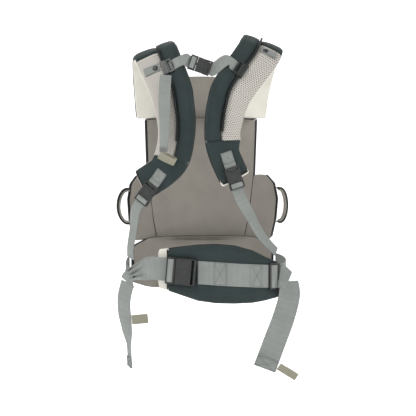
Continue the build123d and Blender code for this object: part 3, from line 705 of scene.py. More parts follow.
def makeStrap(name, s):
    route = strapRoute(s)
    half = strapPad["thick"] / 2
    bandEnd = len(s["route"]) - 1

    def narrowed(pair, t):
        f = min(1.0, max(0.0, (t - strapPad["narrowFrom"]) / strapPad["narrowOver"]))
        return pair[0] + (pair[1] - pair[0]) * f

    def meshEdges(t):
        return (0.0006, narrowed(strapPad["mesh"], t))

    def bandEdges(t):
        return (-narrowed(strapPad["band"], t), -0.0006)

    def fullEdges(t):
        if t <= bandEnd:
            return (-narrowed(strapPad["band"], t), narrowed(strapPad["mesh"], t))
        f = min(1.0, t - bandEnd)
        a = (-strapPad["band"][1], strapPad["mesh"][1])
        return (a[0] + (-strapPad["end"] - a[0]) * f, a[1] + (strapPad["end"] - a[1]) * f)

    def body(t):
        return (-half, half)

    def hem(t):     # the lining stands out past the pad
        return (fullEdges(t)[0] - 0.001, fullEdges(t)[1] + 0.001)

    def liningHeights(t):     # and turns up to a light strip at the strap's end
        return (-half - strapPad["lining"], -half + 0.003 + 0.007 * min(1, max(0, t - stop + 0.02) / 0.04))

    soft = {"ring": 26, "rings": 70, "crown": 0.0016, "ripple": 0.0012, "rippleScale": 45, "square": 3.4,
            "endRound": 0.006, "endThick": 0.75}
    short = dict(soft, rings=40)
    stop = route["last"] - 0.3
    cap = keepPiece(name + "_shoulder_cap",
                    padForm(route, 0, s["capEnd"] + 0.03, meshEdges, lambda t: (-half, half + 0.0006), short),
                    "slate", "carrier")
    meshPad = keepPiece(name + "_mesh_pad", padForm(route, s["capEnd"], s["meshEnd"] + 0.08, meshEdges, body, soft),
                        "mesh", "carrier", [name + "_strap_mesh"])
    band = keepPiece(name + "_band_pad", padForm(route, 0, bandEnd, bandEdges, body, soft),
                     "slate", "carrier", [name + "_strap_band"])
    lining = keepPiece(name + "_lining_cloth",
                       padForm(route, 0, route["last"], hem, liningHeights,
                               dict(soft, crown=0, ripple=0, square=4, endRound=0.003)),
                       "cream", "carrier", [name + "_strap_lining"])
    endPad = keepPiece(name + "_end_pad",
                       padForm(route, s["meshEnd"], stop, fullEdges, lambda t: (-half, half + 0.0004),
                               dict(short, crown=0.001, ripple=0.0018, rippleScale=30)),
                       "slate", "carrier", [name + "_strap_end"])
    for piece, fill in ((cap, 0.7), (meshPad, 0.6), (band, 0.7), (endPad, 0.5), (lining, 0.1)):
        softer(piece)
        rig.padded(piece, fill=fill)
    pipe, radius = strapPad["pipeOut"], strapPad["pipe"]
    tube = padForm(route, s["pipeStart"], bandEnd - 1, lambda t: (-radius, radius), lambda t: around(pipe, radius),
                   dict(trimStyle, ring=12, rings=90, square=2, endRound=0.003, corner=0.001))
    joinForm(tube, padForm(route, s["pipeStart"], bandEnd - 1, lambda t: (-0.0009, 0.0009),
                           lambda t: (half - 0.004, pipe),
                           dict(trimStyle, ring=8, rings=90, square=6, corner=0.0002)))
    keepPiece(name + "_piping", tube, "binding", "carrier", [name + "_strap_rail"])
    for look, pick in (("slate", 0), ("cream", 1)):     # rolled edges, cloth inside and lining outside
        def edging(t, pick=pick):
            return around(fullEdges(t)[pick], 0.0013)
        roll = padForm(route, 0, stop, edging, lambda t: (-half - 0.0012, -half + 0.0026),
                       dict(trimStyle, ring=8, rings=110))
        keepPiece(name + "_rolled_" + look, roll, look, "carrier")
    tapeStyle = {"ring": 24, "rings": 5, "square": 3.4, "endRound": 0.002, "endThick": 0.9}
    tape = padForm(route, stop - 0.03, stop + 0.07,
                   lambda t: (-strapPad["end"] + 0.0008, strapPad["end"] - 0.0008),
                   lambda t: (-half + 0.002, half + 0.0022), tapeStyle)
    keepPiece(name + "_end_tape", tape, "binding", "carrier")
    top = half + 0.0006
    seams = [[(t / 2, -0.0055, top + 0.0002) for t in range(6, 2 * bandEnd)],
             [(t / 2, bandEdges(t / 2)[0] + 0.006, top + 0.0002) for t in range(6, 2 * bandEnd)],
             [(s["meshEnd"] + 0.14, c * mm, top + 0.0006 - abs(c) * 0.00001) for c in range(-30, 36, 6)],
             [(s["capEnd"] - 0.08, c * mm, top + 0.0012) for c in range(4, 52, 6)]]
    for seam in seams:
        sew("darkThread", "carrier", route, seam)
    return route

strapRoutes = {name: makeStrap(name, s) for name, s in strapShape.items()}
print("straps ready")


# ---- side-release buckles

def buckleRoute(plane):     # millimetres in the buckle's own directions: x to the socket, z out
    origin = Vector(plane["mouth"]) * mm
    x = Vector(plane["along"]).normalized()
    z = Vector(plane["out"])
    z = (z - x * z.dot(x)).normalized()
    y = z.cross(x)
    return {"world": lambda t, across, out: origin + x * t + y * across + z * out, "metres": lambda t: t,
            "matrix": Matrix((x, y, z)).transposed().to_4x4(), "origin": origin, "last": 1}

bucklePlaces = {
    "waist": {"mouth": (-80.54, -114.69, 7.17), "along": (0.9765, -0.1971, -0.0867), "out": (-0.1979, -0.9802, 0),
              "webbing": 50, "thick": 14, "socket": 44, "ladder": 20},
    "left_shoulder": {"mouth": (-144.7, -100.4, 166), "along": (0.52, -0.22, 0.79), "out": (-0.45, -0.9, 0.05),
                      "webbing": 25, "thick": 10, "socket": 32, "ladder": 16},
    "right_shoulder": {"mouth": (47.5, -128, 198), "along": (-0.31, 0, 0.95), "out": (0.06, -1, 0),
                       "webbing": 25, "thick": 10, "socket": 32, "ladder": 16},
    "chest": {"mouth": (-33, -101, 448), "along": (0.94, -0.06, -0.34), "out": (-0.08, -1, 0.1),
              "webbing": 25, "thick": 10, "socket": 32, "ladder": 16},
}

def makeBuckle(name, p):
    route = buckleRoute(p)
    place = Matrix.Translation(route["origin"]) @ route["matrix"] @ Matrix.Diagonal((mm, mm, mm, 1))
    half, thick = p["webbing"] / 2 + 3.5, p["thick"] / 2
    length, ladder = p["socket"], p["ladder"]
    inner = p["webbing"] / 2 + 0.8
    channel = -thick + 2.2

    def pinch(co, share):     # the sides draw in beside the latch arms
        hollow = math.exp(-((share.x - 0.42) / 0.17) ** 2)
        co.y *= 1 - 0.2 * hollow
        co.z *= 1 - 0.1 * abs(share.x - 0.5) ** 2

    socket = bmesh.new()
    shell = bmesh.new()
    bmesh.ops.create_cube(shell, size=1)
    along = [e for e in shell.edges if abs(e.verts[0].co.x - e.verts[1].co.x) > 0.5]
    bmesh.ops.subdivide_edges(shell, edges=along, cuts=14)
    mouth = [f for f in shell.faces if f.calc_center_median().x < -0.49]
    for v in shell.verts:
        share = v.co + Vector((0.5, 0.5, 0.5))
        v.co = Vector((length * 0.78 * share.x, half * (2 * share.y - 1), thick * (2 * share.z - 1)))
        pinch(v.co, share)
    bmesh.ops.inset_individual(shell, faces=mouth, thickness=1.5)
    bmesh.ops.translate(shell, verts=list({v for f in mouth for v in f.verts}), vec=(length * 0.55, 0, 0))
    roundSharpEdges(shell, 0.7 if thick < 6 else 1.1)
    joinForm(socket, shell)
    rim = 0.55 if thick < 6 else 0.9
    for side in (-1, 1):
        a, b = sorted((inner * side, half * side))
        addBlock(socket, (length * 0.7, a, -thick), (length, b, thick * 0.86), rim)
    addBlock(socket, (length * 0.885, -inner - 0.5, channel), (length, inner + 0.5, thick * 0.8), rim)
    radius = half * 0.3
    centre = length * 0.42
    low = thick * 0.9
    for size, high in ((radius, thick + 0.25), (radius * 0.72, thick + 0.55)):     # a plain raised disc
        bmesh.ops.create_cone(socket, cap_ends=True, segments=40, radius1=size, radius2=size * 0.93, depth=high - low,
                              matrix=Matrix.Translation((centre, 0, (low + high) / 2)))
    for k in range(3):     # grip lines towards the webbing
        x = length * (0.62 + 0.045 * k)
        addBlock(socket, (x - 0.4, -half * 0.6, thick * 0.8), (x + 0.4, half * 0.6, thick + 0.25), 0.25)
    bmesh.ops.transform(socket, matrix=place, verts=socket.verts)
    keepPiece(name + "_buckle_socket", socket, "buckle", "carrier", [name + "_socket"], smooth=False)

    plug = bmesh.new()
    for side in (-1, 1):
        a, b = sorted((inner * side, half * side))
        addBlock(plug, (-ladder, a, -thick), (-0.4, b, thick * 0.9), rim)
    bars = ((-ladder, -ladder * 0.8, 0.62), (-ladder * 0.6, -ladder * 0.44, 0.5), (-ladder * 0.16, -0.4, 0.95))
    for x0, x1, top in bars:
        addBlock(plug, (x0, -inner - 0.4, channel), (x1, inner + 0.4, thick * top), rim)
    prong = thick - 2.1
    addBlock(plug, (-2, -3, -prong), (length * 0.6 - 2, 3, prong), 0.8)
    bmesh.ops.transform(plug, matrix=place, verts=plug.verts)
    keepPiece(name + "_buckle_plug", plug, "buckle", name + "_plug", [name + "_plug"], smooth=False)

    loopPoints = [(-ladder * 0.88, thick * 0.2), (-ladder * 0.8, thick * 0.62), (-ladder * 0.7, thick * 0.8),
                  (-ladder * 0.5, thick * 0.92), (-ladder * 0.34, thick * 0.86), (-ladder * 0.22, thick * 0.5),
                  (-ladder * 0.2, -thick * 0.3)]
    across = (route["world"](0, mm, 0) - route["origin"]).normalized()
    away = (route["world"](0, 0, mm) - route["origin"]).normalized()
    frames = [(route["world"](x * mm, 0, z * mm), across, away) for x, z in loopPoints]
    wide = p["webbing"] / 2 * mm
    loop = stripForm(makeRoute(frames), 0, 6, lambda t: (-wide, wide), {"steps": 24, "across": 8})
    webbingPiece(name + "_ladder_webbing", loop, name + "_plug", (), 0.0013, 0.0003)
    return route

buckleRoutes = {name: makeBuckle(name, p) for name, p in bucklePlaces.items()}
print("buckles ready")


# ---- box tabs, shoulder webbing, snap tabs

for side in ("left", "right"):
    route = buckleRoutes[side + "_shoulder"]
    tab = stripForm(route, 0.025, 0.066, flatEdges(0.025), {"steps": 20, "across": 12}, middle=-0.0035)
    webbingPiece(side + "_sewn_tab", tab, "carrier", [side + "_box_tab"])
    fold = stripForm(route, 0.026, 0.040, flatEdges(0.025), {"steps": 10, "across": 8}, middle=-0.0019,
                     bulge=lambda t, c: 0.0009 * math.sin((t - 0.026) / 0.014 * math.pi))
    webbingPiece(side + "_tab_fold", fold, "carrier", (), 0.0015)
    boxStitch("carrier", route, 0.042, 0.0645, 0.0112, -0.0027)

shoulderWebbing = {
    "left": {"points": [(-144.0, -96.7, 165.2), (-163.2, -90.2, 136.4), (-168, -80, 92), (-173, -68, 55),
                        (-172, -58, 30)],
             "across": [(0.72, -0.62, -0.3), (0.72, -0.62, -0.3), (0.5, -0.85, 0), (0.45, -0.9, 0), (0.5, -0.85, 0)]},
    "right": {"points": [(47.6, -124, 197), (58.9, -124, 162.8), (84, -116, 118), (104, -108, 84), (127, -98, 58),
                         (143, -90, 42)],
              "across": [(0.95, 0.05, 0.31), (0.95, 0.05, 0.31), (0.85, 0.45, 0.3), (0.7, 0.65, 0.3),
                         (0.6, 0.75, 0.25), (0.6, 0.75, 0.25)]},
}
for side, s in shoulderWebbing.items():
    route = webbingRoute(s["points"], s["across"])
    run = stripForm(route, 0, route["last"], flatEdges(0.025), {"steps": 60, "across": 8},
                    bulge=lambda t, c: 0.0012 * (1 - c * c) * math.sin(t * 2.1))
    webbingPiece(side + "_strap_webbing", run, "carrier", [side + "_shoulder_webbing"])

snapTabs = {"left": {"first": 6, "share": 0.34}, "right": {"first": 5, "share": 0.5}}
snapShape = {"near": 0.0095, "long": 0.036, "wide": 0.020, "low": 0.0024, "capOut": 0.0097}
studProfile = [(0.0, 3.4), (2.2, 3.2), (4.4, 2.6), (5.6, 1.7), (6.1, 0.8), (6.1, 0.0), (0.0, 0.0)]   # radius, height

def railRoute(side, first, share):     # flat frame on the strap beside the piping
    route = strapRoutes[side]
    a = Vector(strapShape[side]["route"][first]) * mm
    b = Vector(strapShape[side]["route"][first + 1]) * mm
    frames = strapFrames(strapShape[side]["route"], strapShape[side]["side"])
    along = (b - a).normalized()
    if first == 6:
        away = frames[6][2] + frames[7][2]
    else:
        away = frames[first][2] + frames[first + 1][2]
    away = (away - along * away.dot(along)).normalized()
    across = away.cross(along) * strapShape[side]["side"]
    origin = a.lerp(b, share) + away * 0.006
    return {"world": lambda t, c, h: origin + along * t + across * c + away * h, "metres": lambda t: t,
            "last": 1, "along": along, "across": across, "away": away}

for side, s in snapTabs.items():
    route = railRoute(side, s["first"], s["share"])
    near, far, half = snapShape["near"], snapShape["near"] + snapShape["long"], snapShape["wide"] / 2
    body = side + "_snap_tab"
    turned = {"world": lambda t, c, h, r=route: r["world"](c, t, h), "metres": lambda t: t, "last": 1}
    tab = stripForm(turned, near, far, flatEdges(snapShape["wide"]), {"steps": 24, "across": 12},
                    middle=snapShape["low"] + 0.0008, bulge=lambda t, c: 0.0006 * (1 - c * c))
    webbingPiece(side + "_snap_strap", tab, body, [side + "_snap_tab"], 0.0015)
    for c in (-half + 0.002, half - 0.002):
        sew("thread", body, turned, [(near + 0.001, c, 0.0041), (far - 0.001, c, 0.0041)])
    dome = bmesh.new()     # the press stud, spun from its profile
    verts = [dome.verts.new((x, 0, z)) for x, z in studProfile]
    edges = [dome.edges.new(pair) for pair in zip(verts, verts[1:])]
    bmesh.ops.spin(dome, geom=verts + edges, cent=(0, 0, 0), axis=(0, 0, 1), angle=2 * math.pi, steps=32,
                   use_merge=True)
    bmesh.ops.remove_doubles(dome, verts=dome.verts, dist=0.01)
    centre = route["world"](0, near + snapShape["capOut"], snapShape["low"] + 0.0017)
    turn = Matrix((route["along"], route["across"], route["away"])).transposed().to_4x4()
    bmesh.ops.transform(dome, matrix=Matrix.Translation(centre) @ turn @ Matrix.Diagonal((mm, mm, mm, 1)),
                        verts=dome.verts)
    keepPiece(side + "_snap_dome", dome, "stud", body, [side + "_snap_cap"])
print("tabs ready")


# ---- chest strap

def chestRun(name, side, inward, localXs, top):
    rail = railRoute(side, 6, 0.45 if side == "left" else 0.55)
    buckle = buckleRoutes["chest"]
    low = -0.005 + 0.001
    points = [buckle["world"](x, 0, low) for x in localXs]
    points += [rail["world"](0, inward * c, h) for c, h in (top, (0.0265, 0.0047), (0.0175, 0.0022), (0.011, 0.0022))]
    across = buckle["world"](0, 1, 0) - buckle["origin"]
    railSide = rail["along"] if rail["along"].dot(across) > 0 else -rail["along"]
    sides = [across] * len(localXs) + [railSide] * 4
    route = webbingRoute([p / mm for p in points], sides)
    run = stripForm(route, 0, route["last"], flatEdges(0.025), {"steps": 60, "across": 10},
                    bulge=lambda t, c: 0.0008 * (1 - c * c) * math.sin(t * 1.7))
    return webbingPiece(name + "_run", run, None, [name]), points

leftRun, leftPoints = chestRun("chest_webbing_left", "left", -1, (-0.001, -0.016, -0.021), (0.049, 0.0047))
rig.blend(leftRun, "carrier", "left_slider", start=leftPoints[2], end=leftPoints[-2])
rightRun, rightPoints = chestRun("chest_webbing_right", "right", -1, (0.025, 0.032, 0.037), (0.042, 0.0040))
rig.blend(rightRun, "carrier", "right_slider", start=rightPoints[2], end=rightPoints[-2])


# ---- free webbing tails and their elastic loops

tails = {
    "chest_tail": {"points": [(-101, -120, 424), (-104, -127, 380), (-105, -134, 330), (-107, -138, 262)],
                   "across": [(1, 0.05, 0), (1, 0.05, 0), (0.8, -0.6, 0), (0.5, -0.86, 0)],
                   "width": 0.025, "from": "left_chest_slider", "curl": 0.0012, "hem": 0.2},
    "belt_tail_right": {"points": [(171, -84.5, -22), (172, -88, -52), (160, -92, -98), (140, -94, -150),
                                   (116, -96, -212)],
                        "across": [(0.85, 0.45, 0.1), (0.8, 0.2, 0.5), (0.93, 0.1, 0.38), (0.93, 0, 0.38),
                                   (0.93, 0, 0.38)],
                        "width": 0.050, "from": "tri_glide", "curl": 0.002, "hem": 0.44},
    "belt_tail_left": {"points": [(-176, -24, -28), (-184, -20, -66), (-183, -16, -104), (-177, -14, -140),
                                  (-173, -14, -168), (-171, -14, -216)],
                       "across": [(0.5, -0.86, 0)] * 3 + [(0.35, -0.94, 0), (0.1, -1, 0), (0.1, -1, 0)],
                       "width": 0.050, "from": "belt_webbing_left", "curl": 0.002, "hem": 0.5},
}
tailRoutes = {}
for name, s in tails.items():
    route = webbingRoute(s["points"], s["across"])
    tailRoutes[name] = route
    run = stripForm(route, 0, route["last"], flatEdges(s["width"]), {"steps": 70, "across": 12},
                    bulge=lambda t, c, s=s: s["curl"] * (c * c - 0.5) * math.sin(t * 1.9 + 0.6))
    piece = webbingPiece(name + "_strip", run, name, [name])
    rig.sheet(piece, flat=(s["width"], route["metres"](route["last"])), held="hung", rests_on=[s["from"]])
    end = route["last"]
    hem = stripForm(route, end - s["hem"], end - 0.01, flatEdges(s["width"]), {"steps": 10, "across": 10},
                    middle=0.0017)
    webbingPiece(name + "_hem", hem, name, (), 0.0015)
    boxStitch(name, route, end - s["hem"] + 0.03, end - 0.04, s["width"] / 2 - 0.002, 0.0026)

loops = {     # elastic loops beside the tails, in millimetres; twist shows their openings
    "chest_keeper": {"root": (-117.5, -148.0, 257.0), "along": (0.9, 0, -0.43),
                     "length": 38, "width": 18, "puff": 4.6, "twist": 34},
    "belt_keeper_right": {"root": (147.4, -96.5, -207.2), "along": (0.845, 0, -0.535),
                          "length": 47, "width": 16, "puff": 2.0, "twist": 10},
    "belt_keeper_left": {"root": (-168.8, -37.5, -108), "along": (1, 0, 0.06),
                         "length": 36, "width": 20, "puff": 3.0, "twist": -24},
}
for name, s in loops.items():
    outward = Vector(s["along"]).normalized()
    front = Vector((0, -1, 0))
    front = (front - outward * front.dot(outward)).normalized()
    front.rotate(Matrix.Rotation(math.radians(s["twist"]), 3, outward))
    wide = outward.cross(front)
    length = s["length"]
    frames = []
    loopPoints = ((0.3, 0.5), (0.5 * length, 1.3), (length - 3, 1.0), (length - 0.8, 0.0),
                  (length - 3, -1.0), (0.5 * length, -1.3), (0.3, -0.5))
    for x, h in loopPoints:
        centre = (Vector(s["root"]) + outward * x + front * h * s["puff"] * 0.6) * mm
        frames.append((centre, wide, front))
    band = stripForm(makeRoute(frames), 0, 6, flatEdges(s["width"] * mm), {"steps": 60, "across": 8},
                     bulge=lambda t, c: 0.0005 * math.sin(t * 3) * c)
    thicken(keepPiece(name + "_loop", band, "elastic", name, [name]), 0.0013, 0.0004)
print("tails ready")


# ---- waist belt, back

belt = {"a": 0.185, "b": 0.104, "lining": 0.002, "outside": 0.014, "drop": 0.087,
        "stations": [-114, -92, -31, 8, 48, 88, 116, 148],
        "pad": [(-92, -37, 53), (-31, -58, 61), (8, -64, 62), (48, -66, 58), (88, -66, 46),
                (116, -63, 31), (148, -58, 16)]}

def ovalFrame(x):
    y = -belt["b"] * math.sqrt(1 - (x / belt["a"]) ** 2)
    away = Vector((x / belt["a"] ** 2, y / belt["b"] ** 2, 0)).normalized()
    return Vector((x, y, 0)), away

beltStops = [(x * mm, ovalFrame(x * mm)) for x in belt["stations"]]

def beltWorld(x, z, h):     # x in metres along the belt's width, z up, h out of the wearer
    i = max(i for i in range(len(beltStops) - 1) if i == 0 or beltStops[i][0] <= x)
    (x0, (p0, a0)), (x1, (p1, a1)) = beltStops[i], beltStops[i + 1]
    f = max(0.0, min(1.0, (x - x0) / (x1 - x0)))
    p = (p0 + a0 * h).lerp(p1 + a1 * h, f)
    return Vector((p.x, p.y, z))

beltRoute = {"world": beltWorld, "metres": lambda x: x, "last": 1}

def webbingHeight(x):
    return 0.009 - belt["drop"] * (x + 0.1)

padLow = [(x * mm, low * mm) for x, low, high in belt["pad"]]
padHigh = [(x * mm, high * mm) for x, low, high in belt["pad"]]

def lumbarEdges(x):
    return (betweenPairs(padLow, x), betweenPairs(padHigh, x))

lumbarStyle = {"ring": 44, "rings": 60, "square": 5, "crown": 0, "ripple": 0.0006, "rippleScale": 30,
               "endRound": 0.01, "endThick": 0.5, "gather": 0.3}

def makeLumbar():
    bm = padForm(beltRoute, -0.092, 0.148, lumbarEdges, lambda x: (belt["lining"], belt["outside"] - 0.0006),
                 lumbarStyle)
    place = bm.verts.layers.float_vector["place"]
    for v in bm.verts:     # foam stands out above and below the webbing
        x, z, h = v[place]
        if h > 0.009:
            gap = abs(z - webbingHeight(x)) - 0.028
            low, high = lumbarEdges(x)
            rim = min(z - low, high - z)
            rise = 0.0032 * min(1, max(0, gap) / 0.008) * min(1, max(0, rim) / 0.012)
            v.co = beltWorld(x, z, h + rise)
            v[place] = (x, z, h + rise)
    piece = softer(keepPiece("lumbar_cushion", bm, "slate", "carrier", ["lumbar_pad"]))
    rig.padded(piece, fill=0.7)

makeLumbar()
liningLow = [(-0.114, -0.032)] + padLow
liningHigh = [(-0.114, 0.050)] + padHigh
lining = padForm(beltRoute, -0.114, 0.148,
                 lambda x: (betweenPairs(liningLow, x) - 0.0008, betweenPairs(liningHigh, x) + 0.0008),
                 lambda x: (0.0002, 0.0032), {"ring": 32, "rings": 50, "square": 5, "endRound": 0.004})
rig.padded(softer(keepPiece("lumbar_lining_cloth", lining, "cream", "carrier", ["lumbar_lining"])), fill=0.1)

trim = bmesh.new()
trim.verts.layers.float_vector.new("place")
for table in (padLow, padHigh):     # dark binding round the pad's rim
    joinForm(trim, padForm(beltRoute, -0.092, 0.148, lambda x, t=table: around(betweenPairs(t, x), 0.0014),
                           lambda x: (0.0022, 0.0062), trimStyle))
for x in (-0.0935, 0.1480):
    low, high = lumbarEdges(x)
    upright = {"world": lambda t, c, h, x=x: beltWorld(x + c, t, h), "metres": lambda t: t, "last": 1}
    joinForm(trim, padForm(upright, low + 0.002, high - 0.002, lambda t: (-0.0014, 0.0014),
                           lambda t: (0.0022, 0.0085), dict(trimStyle, rings=30, endRound=0.003)))
keepPiece("lumbar_binding", trim, "binding", "carrier")
for table, inset in ((padLow, 0.006), (padHigh, -0.006)):
    sew("darkThread", "carrier", beltRoute, [(x, z + inset, 0.0138) for x, z in table])

onPad = belt["outside"] + 0.0012
webbingRun = stripForm(beltRoute, -0.031, 0.118, lambda x: around(webbingHeight(x), 0.025),
                       {"steps": 60, "across": 14}, middle=onPad)
webbingPiece("lumbar_webbing_run", webbingRun, "carrier", ["lumbar_webbing"])
tilted = {"world": lambda t, c, h: beltWorld(t, webbingHeight(t) + c, h), "metres": lambda t: t, "last": 1}
for x0, x1 in ((0.002, 0.027), (0.082, 0.104)):
    boxStitch("carrier", tilted, x0, x1, 0.0225, onPad + 0.0009)
for x in (0.030, 0.079):
    patch = stripForm(tilted, x, x + 0.0035, lambda t: (-0.0245, 0.0245), {"steps": 3, "across": 10},
                      middle=onPad + 0.0012)
    webbingPiece("webbing_step_%d" % round(x * 1000), patch, "carrier", (), 0.0012)
glideA, glideB = beltWorld(0.116, 0, belt["outside"]), beltWorld(0.148, 0, belt["outside"])
glideX = (glideB - glideA).normalized()
glideOut = Vector((glideX.y, -glideX.x, 0))
glideStart = glideA + glideX * 0.003 + glideOut * 0.0034 + Vector((0, 0, webbingHeight(0.132)))
frames = []
for x, h in ((5.3, -1.2), (7.2, 1.2), (10.5, 2.9), (14.5, 3.3), (18.5, 2.9), (21.8, 1.2), (23.6, -1.2)):
    frames.append((glideStart + glideX * x * mm + glideOut * h * mm, Vector((0, 0, 1)), glideOut))
overBar = stripForm(makeRoute(frames), 0, 6, flatEdges(0.050), {"steps": 24, "across": 12})
webbingPiece("tri_glide_webbing", overBar, "tri_glide", (), 0.0014)
print("belt back ready")


# ---- waist belt, sides

beltRuns = {
    "left": {"points": [(-81.3, -109.0, 7.25), (-132.3, -98.8, 11.8), (-150, -84, 4), (-166, -56, -4),
                        (-173, -20, -10), (-173, 24, -6), (-166.4, 62, 0)],
             "across": [(-0.1, 0, 1), (-0.1, 0, 1), (-0.2, 0, 1), (-0.35, 0, 1), (-0.4, 0, 1),
                        (-0.2, 0, 1), (0, 0, 1)],
             "spread": [(0, 0.050), (1, 0.050), (2, 0.042), (3, 0.030), (4, 0.028), (5, 0.040), (6, 0.050)],
             "fold": 0.0042, "folds": 3.2},
    "right": {"points": [(154, -66, -12), (168, -44, -10), (177, -12, -6), (175, 28, -2), (166.4, 62, 0)],
              "across": [(0, 0, 1)] * 5, "spread": [(0, 0.050), (4, 0.050)], "fold": 0.0006, "folds": 1.5},
}
for side, s in beltRuns.items():
    route = webbingRoute(s["points"], s["across"])

    def pleats(t, c, s=s):     # the webbing gathers where its spread is less than its width
        tight = (0.050 - betweenPairs(s["spread"], t)) / 0.022
        wave = math.sin(c * math.pi * s["folds"] + 0.9 * math.sin(t * 2.3)) + 0.4 * math.sin(c * 5 + t * 5.1)
        return s["fold"] * min(1, max(0, tight)) * wave

    def spread(t, s=s):
        half = betweenPairs(s["spread"], t) / 2
        return (-half, half)

    run = stripForm(route, 0, route["last"], spread, {"steps": 110, "across": 32}, bulge=pleats)
    webbingPiece(side + "_belt_run", run, "carrier", ["belt_webbing_" + side])

folds = {     # where each tail leaves the belt
    "belt_tail_right": {"points": [(150, -82.4, -11.5), (156, -84, -13), (163, -85, -17), (171, -84.5, -22)],
                        "across": [(0, 0.1, 1), (0.25, 0.2, 0.85), (0.6, 0.35, 0.45), (0.85, 0.45, 0.1)],
                        "spread": [(0, 0.050), (3, 0.050)]},
    "belt_tail_left": {"points": [(-168, -46, -4), (-172, -36, -12), (-175, -28, -20), (-176, -24, -28)],
                       "across": [(0.3, -0.9, 0.1), (0.4, -0.9, 0), (0.5, -0.86, 0), (0.5, -0.86, 0)],
                       "spread": [(0, 0.026), (3, 0.050)]},
}
for name, s in folds.items():
    route = webbingRoute(s["points"], s["across"])
    fold = stripForm(route, 0, 3, lambda t, s=s: around(0, betweenPairs(s["spread"], t) / 2),
                     {"steps": 30, "across": 14})
    piece = webbingPiece(name + "_fold", fold, None, (), 0.0014)
    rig.blend(piece, "carrier", name, start=Vector(s["points"][0]) * mm, end=Vector(s["points"][-1]) * mm)
print("belt sides ready")


# ---- front panel, wings, neck support and front belt pad

panel = {"radius": 0.229, "axisY": -0.094}

def panelWorld(z, x, h):     # z up the wearer, x across, h out from the panel's outer face
    angle = math.asin(max(-0.99, min(0.99, x / panel["radius"])))
    r = panel["radius"] + h
    return Vector((r * math.sin(angle), panel["axisY"] + r * math.cos(angle), z))

panelRoute = {"world": panelWorld, "metres": lambda z: z, "last": 1}
panelSide = [(0.062, 0.104), (0.100, 0.112), (0.150, 0.118), (0.205, 0.124), (0.330, 0.128)]
wingSide = [(0.062, 0.160), (0.105, 0.168), (0.150, 0.171), (0.184, 0.165), (0.203, 0.150)]

def bothSides(table):
    return lambda z: around(0, betweenPairs(table, z))

def beside(table, side, half):     # a narrow band along one edge of the panel
    return lambda z: around(side * betweenPairs(table, z), half)

panelStyle = {"ring": 56, "rings": 44, "square": 7, "endRound": 0.004, "ripple": 0.0012, "rippleScale": 22,
              "corner": 0.004, "gather": 0.25}
cover = keepPiece("panel_cloth",
                  padForm(panelRoute, 0.054, 0.330, bothSides(panelSide), lambda z: (-0.0026, -0.0004), panelStyle),
                  "slate", "carrier", ["panel_cover"])
inner = keepPiece("panel_padding",
                  padForm(panelRoute, 0.052, 0.330, bothSides(panelSide), lambda z: (-0.0082, -0.0018),
                          dict(panelStyle, ripple=0.0026, rippleScale=14)),
                  "taupe", "carrier", ["panel_lining"])
for piece, fill in ((cover, 0.3), (inner, 0.5)):
    softer(piece)
    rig.padded(piece, fill=fill)
edging = bmesh.new()
edging.verts.layers.float_vector.new("place")
for side in (-1, 1):
    joinForm(edging, padForm(panelRoute, 0.062, 0.329, beside(panelSide, side, 0.0016),
                             lambda z: (-0.0072, 0.0009), trimStyle))
    joinForm(edging, padForm(panelRoute, 0.062, 0.203, beside(wingSide, side, 0.0012),
                             lambda z: (-0.0066, 0.0006), trimStyle))
crossways = {"world": lambda x, z, h: panelWorld(z, x, h), "metres": lambda x: x, "last": 1}
joinForm(edging, padForm(crossways, -0.127, 0.127, lambda x: (0.3275, 0.3305), lambda x: (-0.0076, 0.0009),
                         trimStyle))
keepPiece("panel_binding", edging, "binding", "carrier")
for name, side in (("left", -1), ("right", 1)):
    def wingEdges(z, side=side):
        near, far = betweenPairs(panelSide, z) + 0.0005, betweenPairs(wingSide, z)
        return tuple(sorted((near * side, far * side)))
    wing = keepPiece(name + "_wing_pad",
                     padForm(panelRoute, 0.056, 0.203, wingEdges, lambda z: (-0.0080, 0.0),
                             dict(panelStyle, ring=30, crown=0.001, ripple=0.0024)),
                     "taupe", "carrier", [name + "_seat_wing"])
    softer(wing)
    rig.padded(wing, fill=0.5)
    seam = [(z / 1000, side * (0.128 + (z - 62) * 0.00018), 0.0004) for z in range(70, 190, 12)]
    sew("darkThread", "carrier", panelRoute, seam)

support = {"bottom": 0.3304, "high": 0.096, "half": 0.056}
supportSide = [(support["bottom"], support["half"]),
               (support["bottom"] + support["high"] * 0.7, support["half"]),
               (support["bottom"] + support["high"], support["half"] * 0.74)]
top = support["bottom"] + support["high"]
supportStyle = dict(panelStyle, ring=36, rings=26)
for name, look, low, high, node in (("neck_support_cloth", "slate", -0.0022, 0.0, "neck_support"),
                                    ("neck_support_padding", "taupe", -0.0080, -0.0018, "neck_support_lining")):
    form = padForm(panelRoute, support["bottom"], top, bothSides(supportSide), lambda z, a=low, b=high: (a, b),
                   supportStyle)
    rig.padded(softer(keepPiece(name, form, look, "neck_support", [node])), fill=0.5)

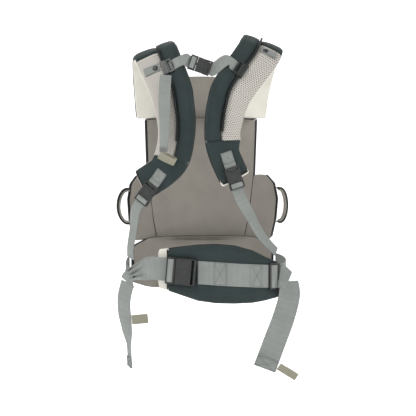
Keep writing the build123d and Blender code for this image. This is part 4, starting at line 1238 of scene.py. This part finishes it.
frontLow, frontHigh = -0.0544, 0.0622
frontSide = [(frontLow, 0.121), (frontLow + 0.018, 0.165),
             (frontHigh - 0.018, 0.165), (frontHigh, 0.121)]
frontStyle = dict(panelStyle, ring=60, rings=30, crown=0, endRound=0.0025, ripple=0.002, rippleScale=18)
for name, look, low, high, node, fill in (
        ("front_belt_cushion", "slate", -0.012, 0.0, "front_belt_pad", 0.7),
        ("front_belt_inner", "taupe", -0.0138, -0.0112, "front_belt_lining", 0.2)):
    form = padForm(panelRoute, frontLow, frontHigh, bothSides(frontSide), lambda z, a=low, b=high: (a, b), frontStyle)
    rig.padded(softer(keepPiece(name, form, look, "carrier", [node])), fill=fill)

legLoop = {"middleZ": 0.136, "high": 0.072, "y": 0.040, "deep": 0.022, "x": 0.171}
loopStyle = {"ring": 20, "rings": 50, "square": 3, "ripple": 0.001, "rippleScale": 60, "gather": 0}
rings = bmesh.new()
rings.verts.layers.float_vector.new("place")
bound = bmesh.new()
bound.verts.layers.float_vector.new("place")
for side, reach in ((-1, 0.020), (1, 0.014)):
    frames = []
    for i in range(11):
        turn = math.radians(104 - 20.8 * i)
        centre = Vector((side * (legLoop["x"] + reach * math.cos(turn)), legLoop["y"],
                         legLoop["middleZ"] + legLoop["high"] / 2 * math.sin(turn)))
        away = Vector((math.cos(turn) / reach * side, 0, math.sin(turn) / legLoop["high"] * 2)).normalized()
        frames.append((centre, Vector((0, 1, 0)), away))
    route = makeRoute(frames)
    half = legLoop["deep"] / 2
    joinForm(rings, padForm(route, 0, 10, lambda t: (-half, half), lambda t: (-0.0036, 0.0034), loopStyle))
    for c in (-half, half):
        joinForm(bound, padForm(route, 0, 10, lambda t, c=c: around(c, 0.0016), lambda t: (0.0010, 0.0048),
                                dict(trimStyle, rings=50)))
piece = keepPiece("leg_loop_padding", rings, "taupe", "carrier", ["leg_loops"])
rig.padded(softer(piece), fill=0.6)
keepPiece("leg_loop_binding", bound, "binding", "carrier")
print("front ready")


# ---- stitches gathered on each body

for (look, body), bm in stitches.items():
    place = bm.verts.layers.float_vector.new("place")
    for v in bm.verts:
        v[place] = v.co
    keepPiece("stitches_" + look + "_" + body, bm, look, body)
print("stitches ready")

def plainBox(box):
    return [[float(c) for c in corner] for corner in box]

with open("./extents.json", "w") as out:
    json.dump({"cad": plainBox(cadBox), "visual": plainBox(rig.bounds())}, out)
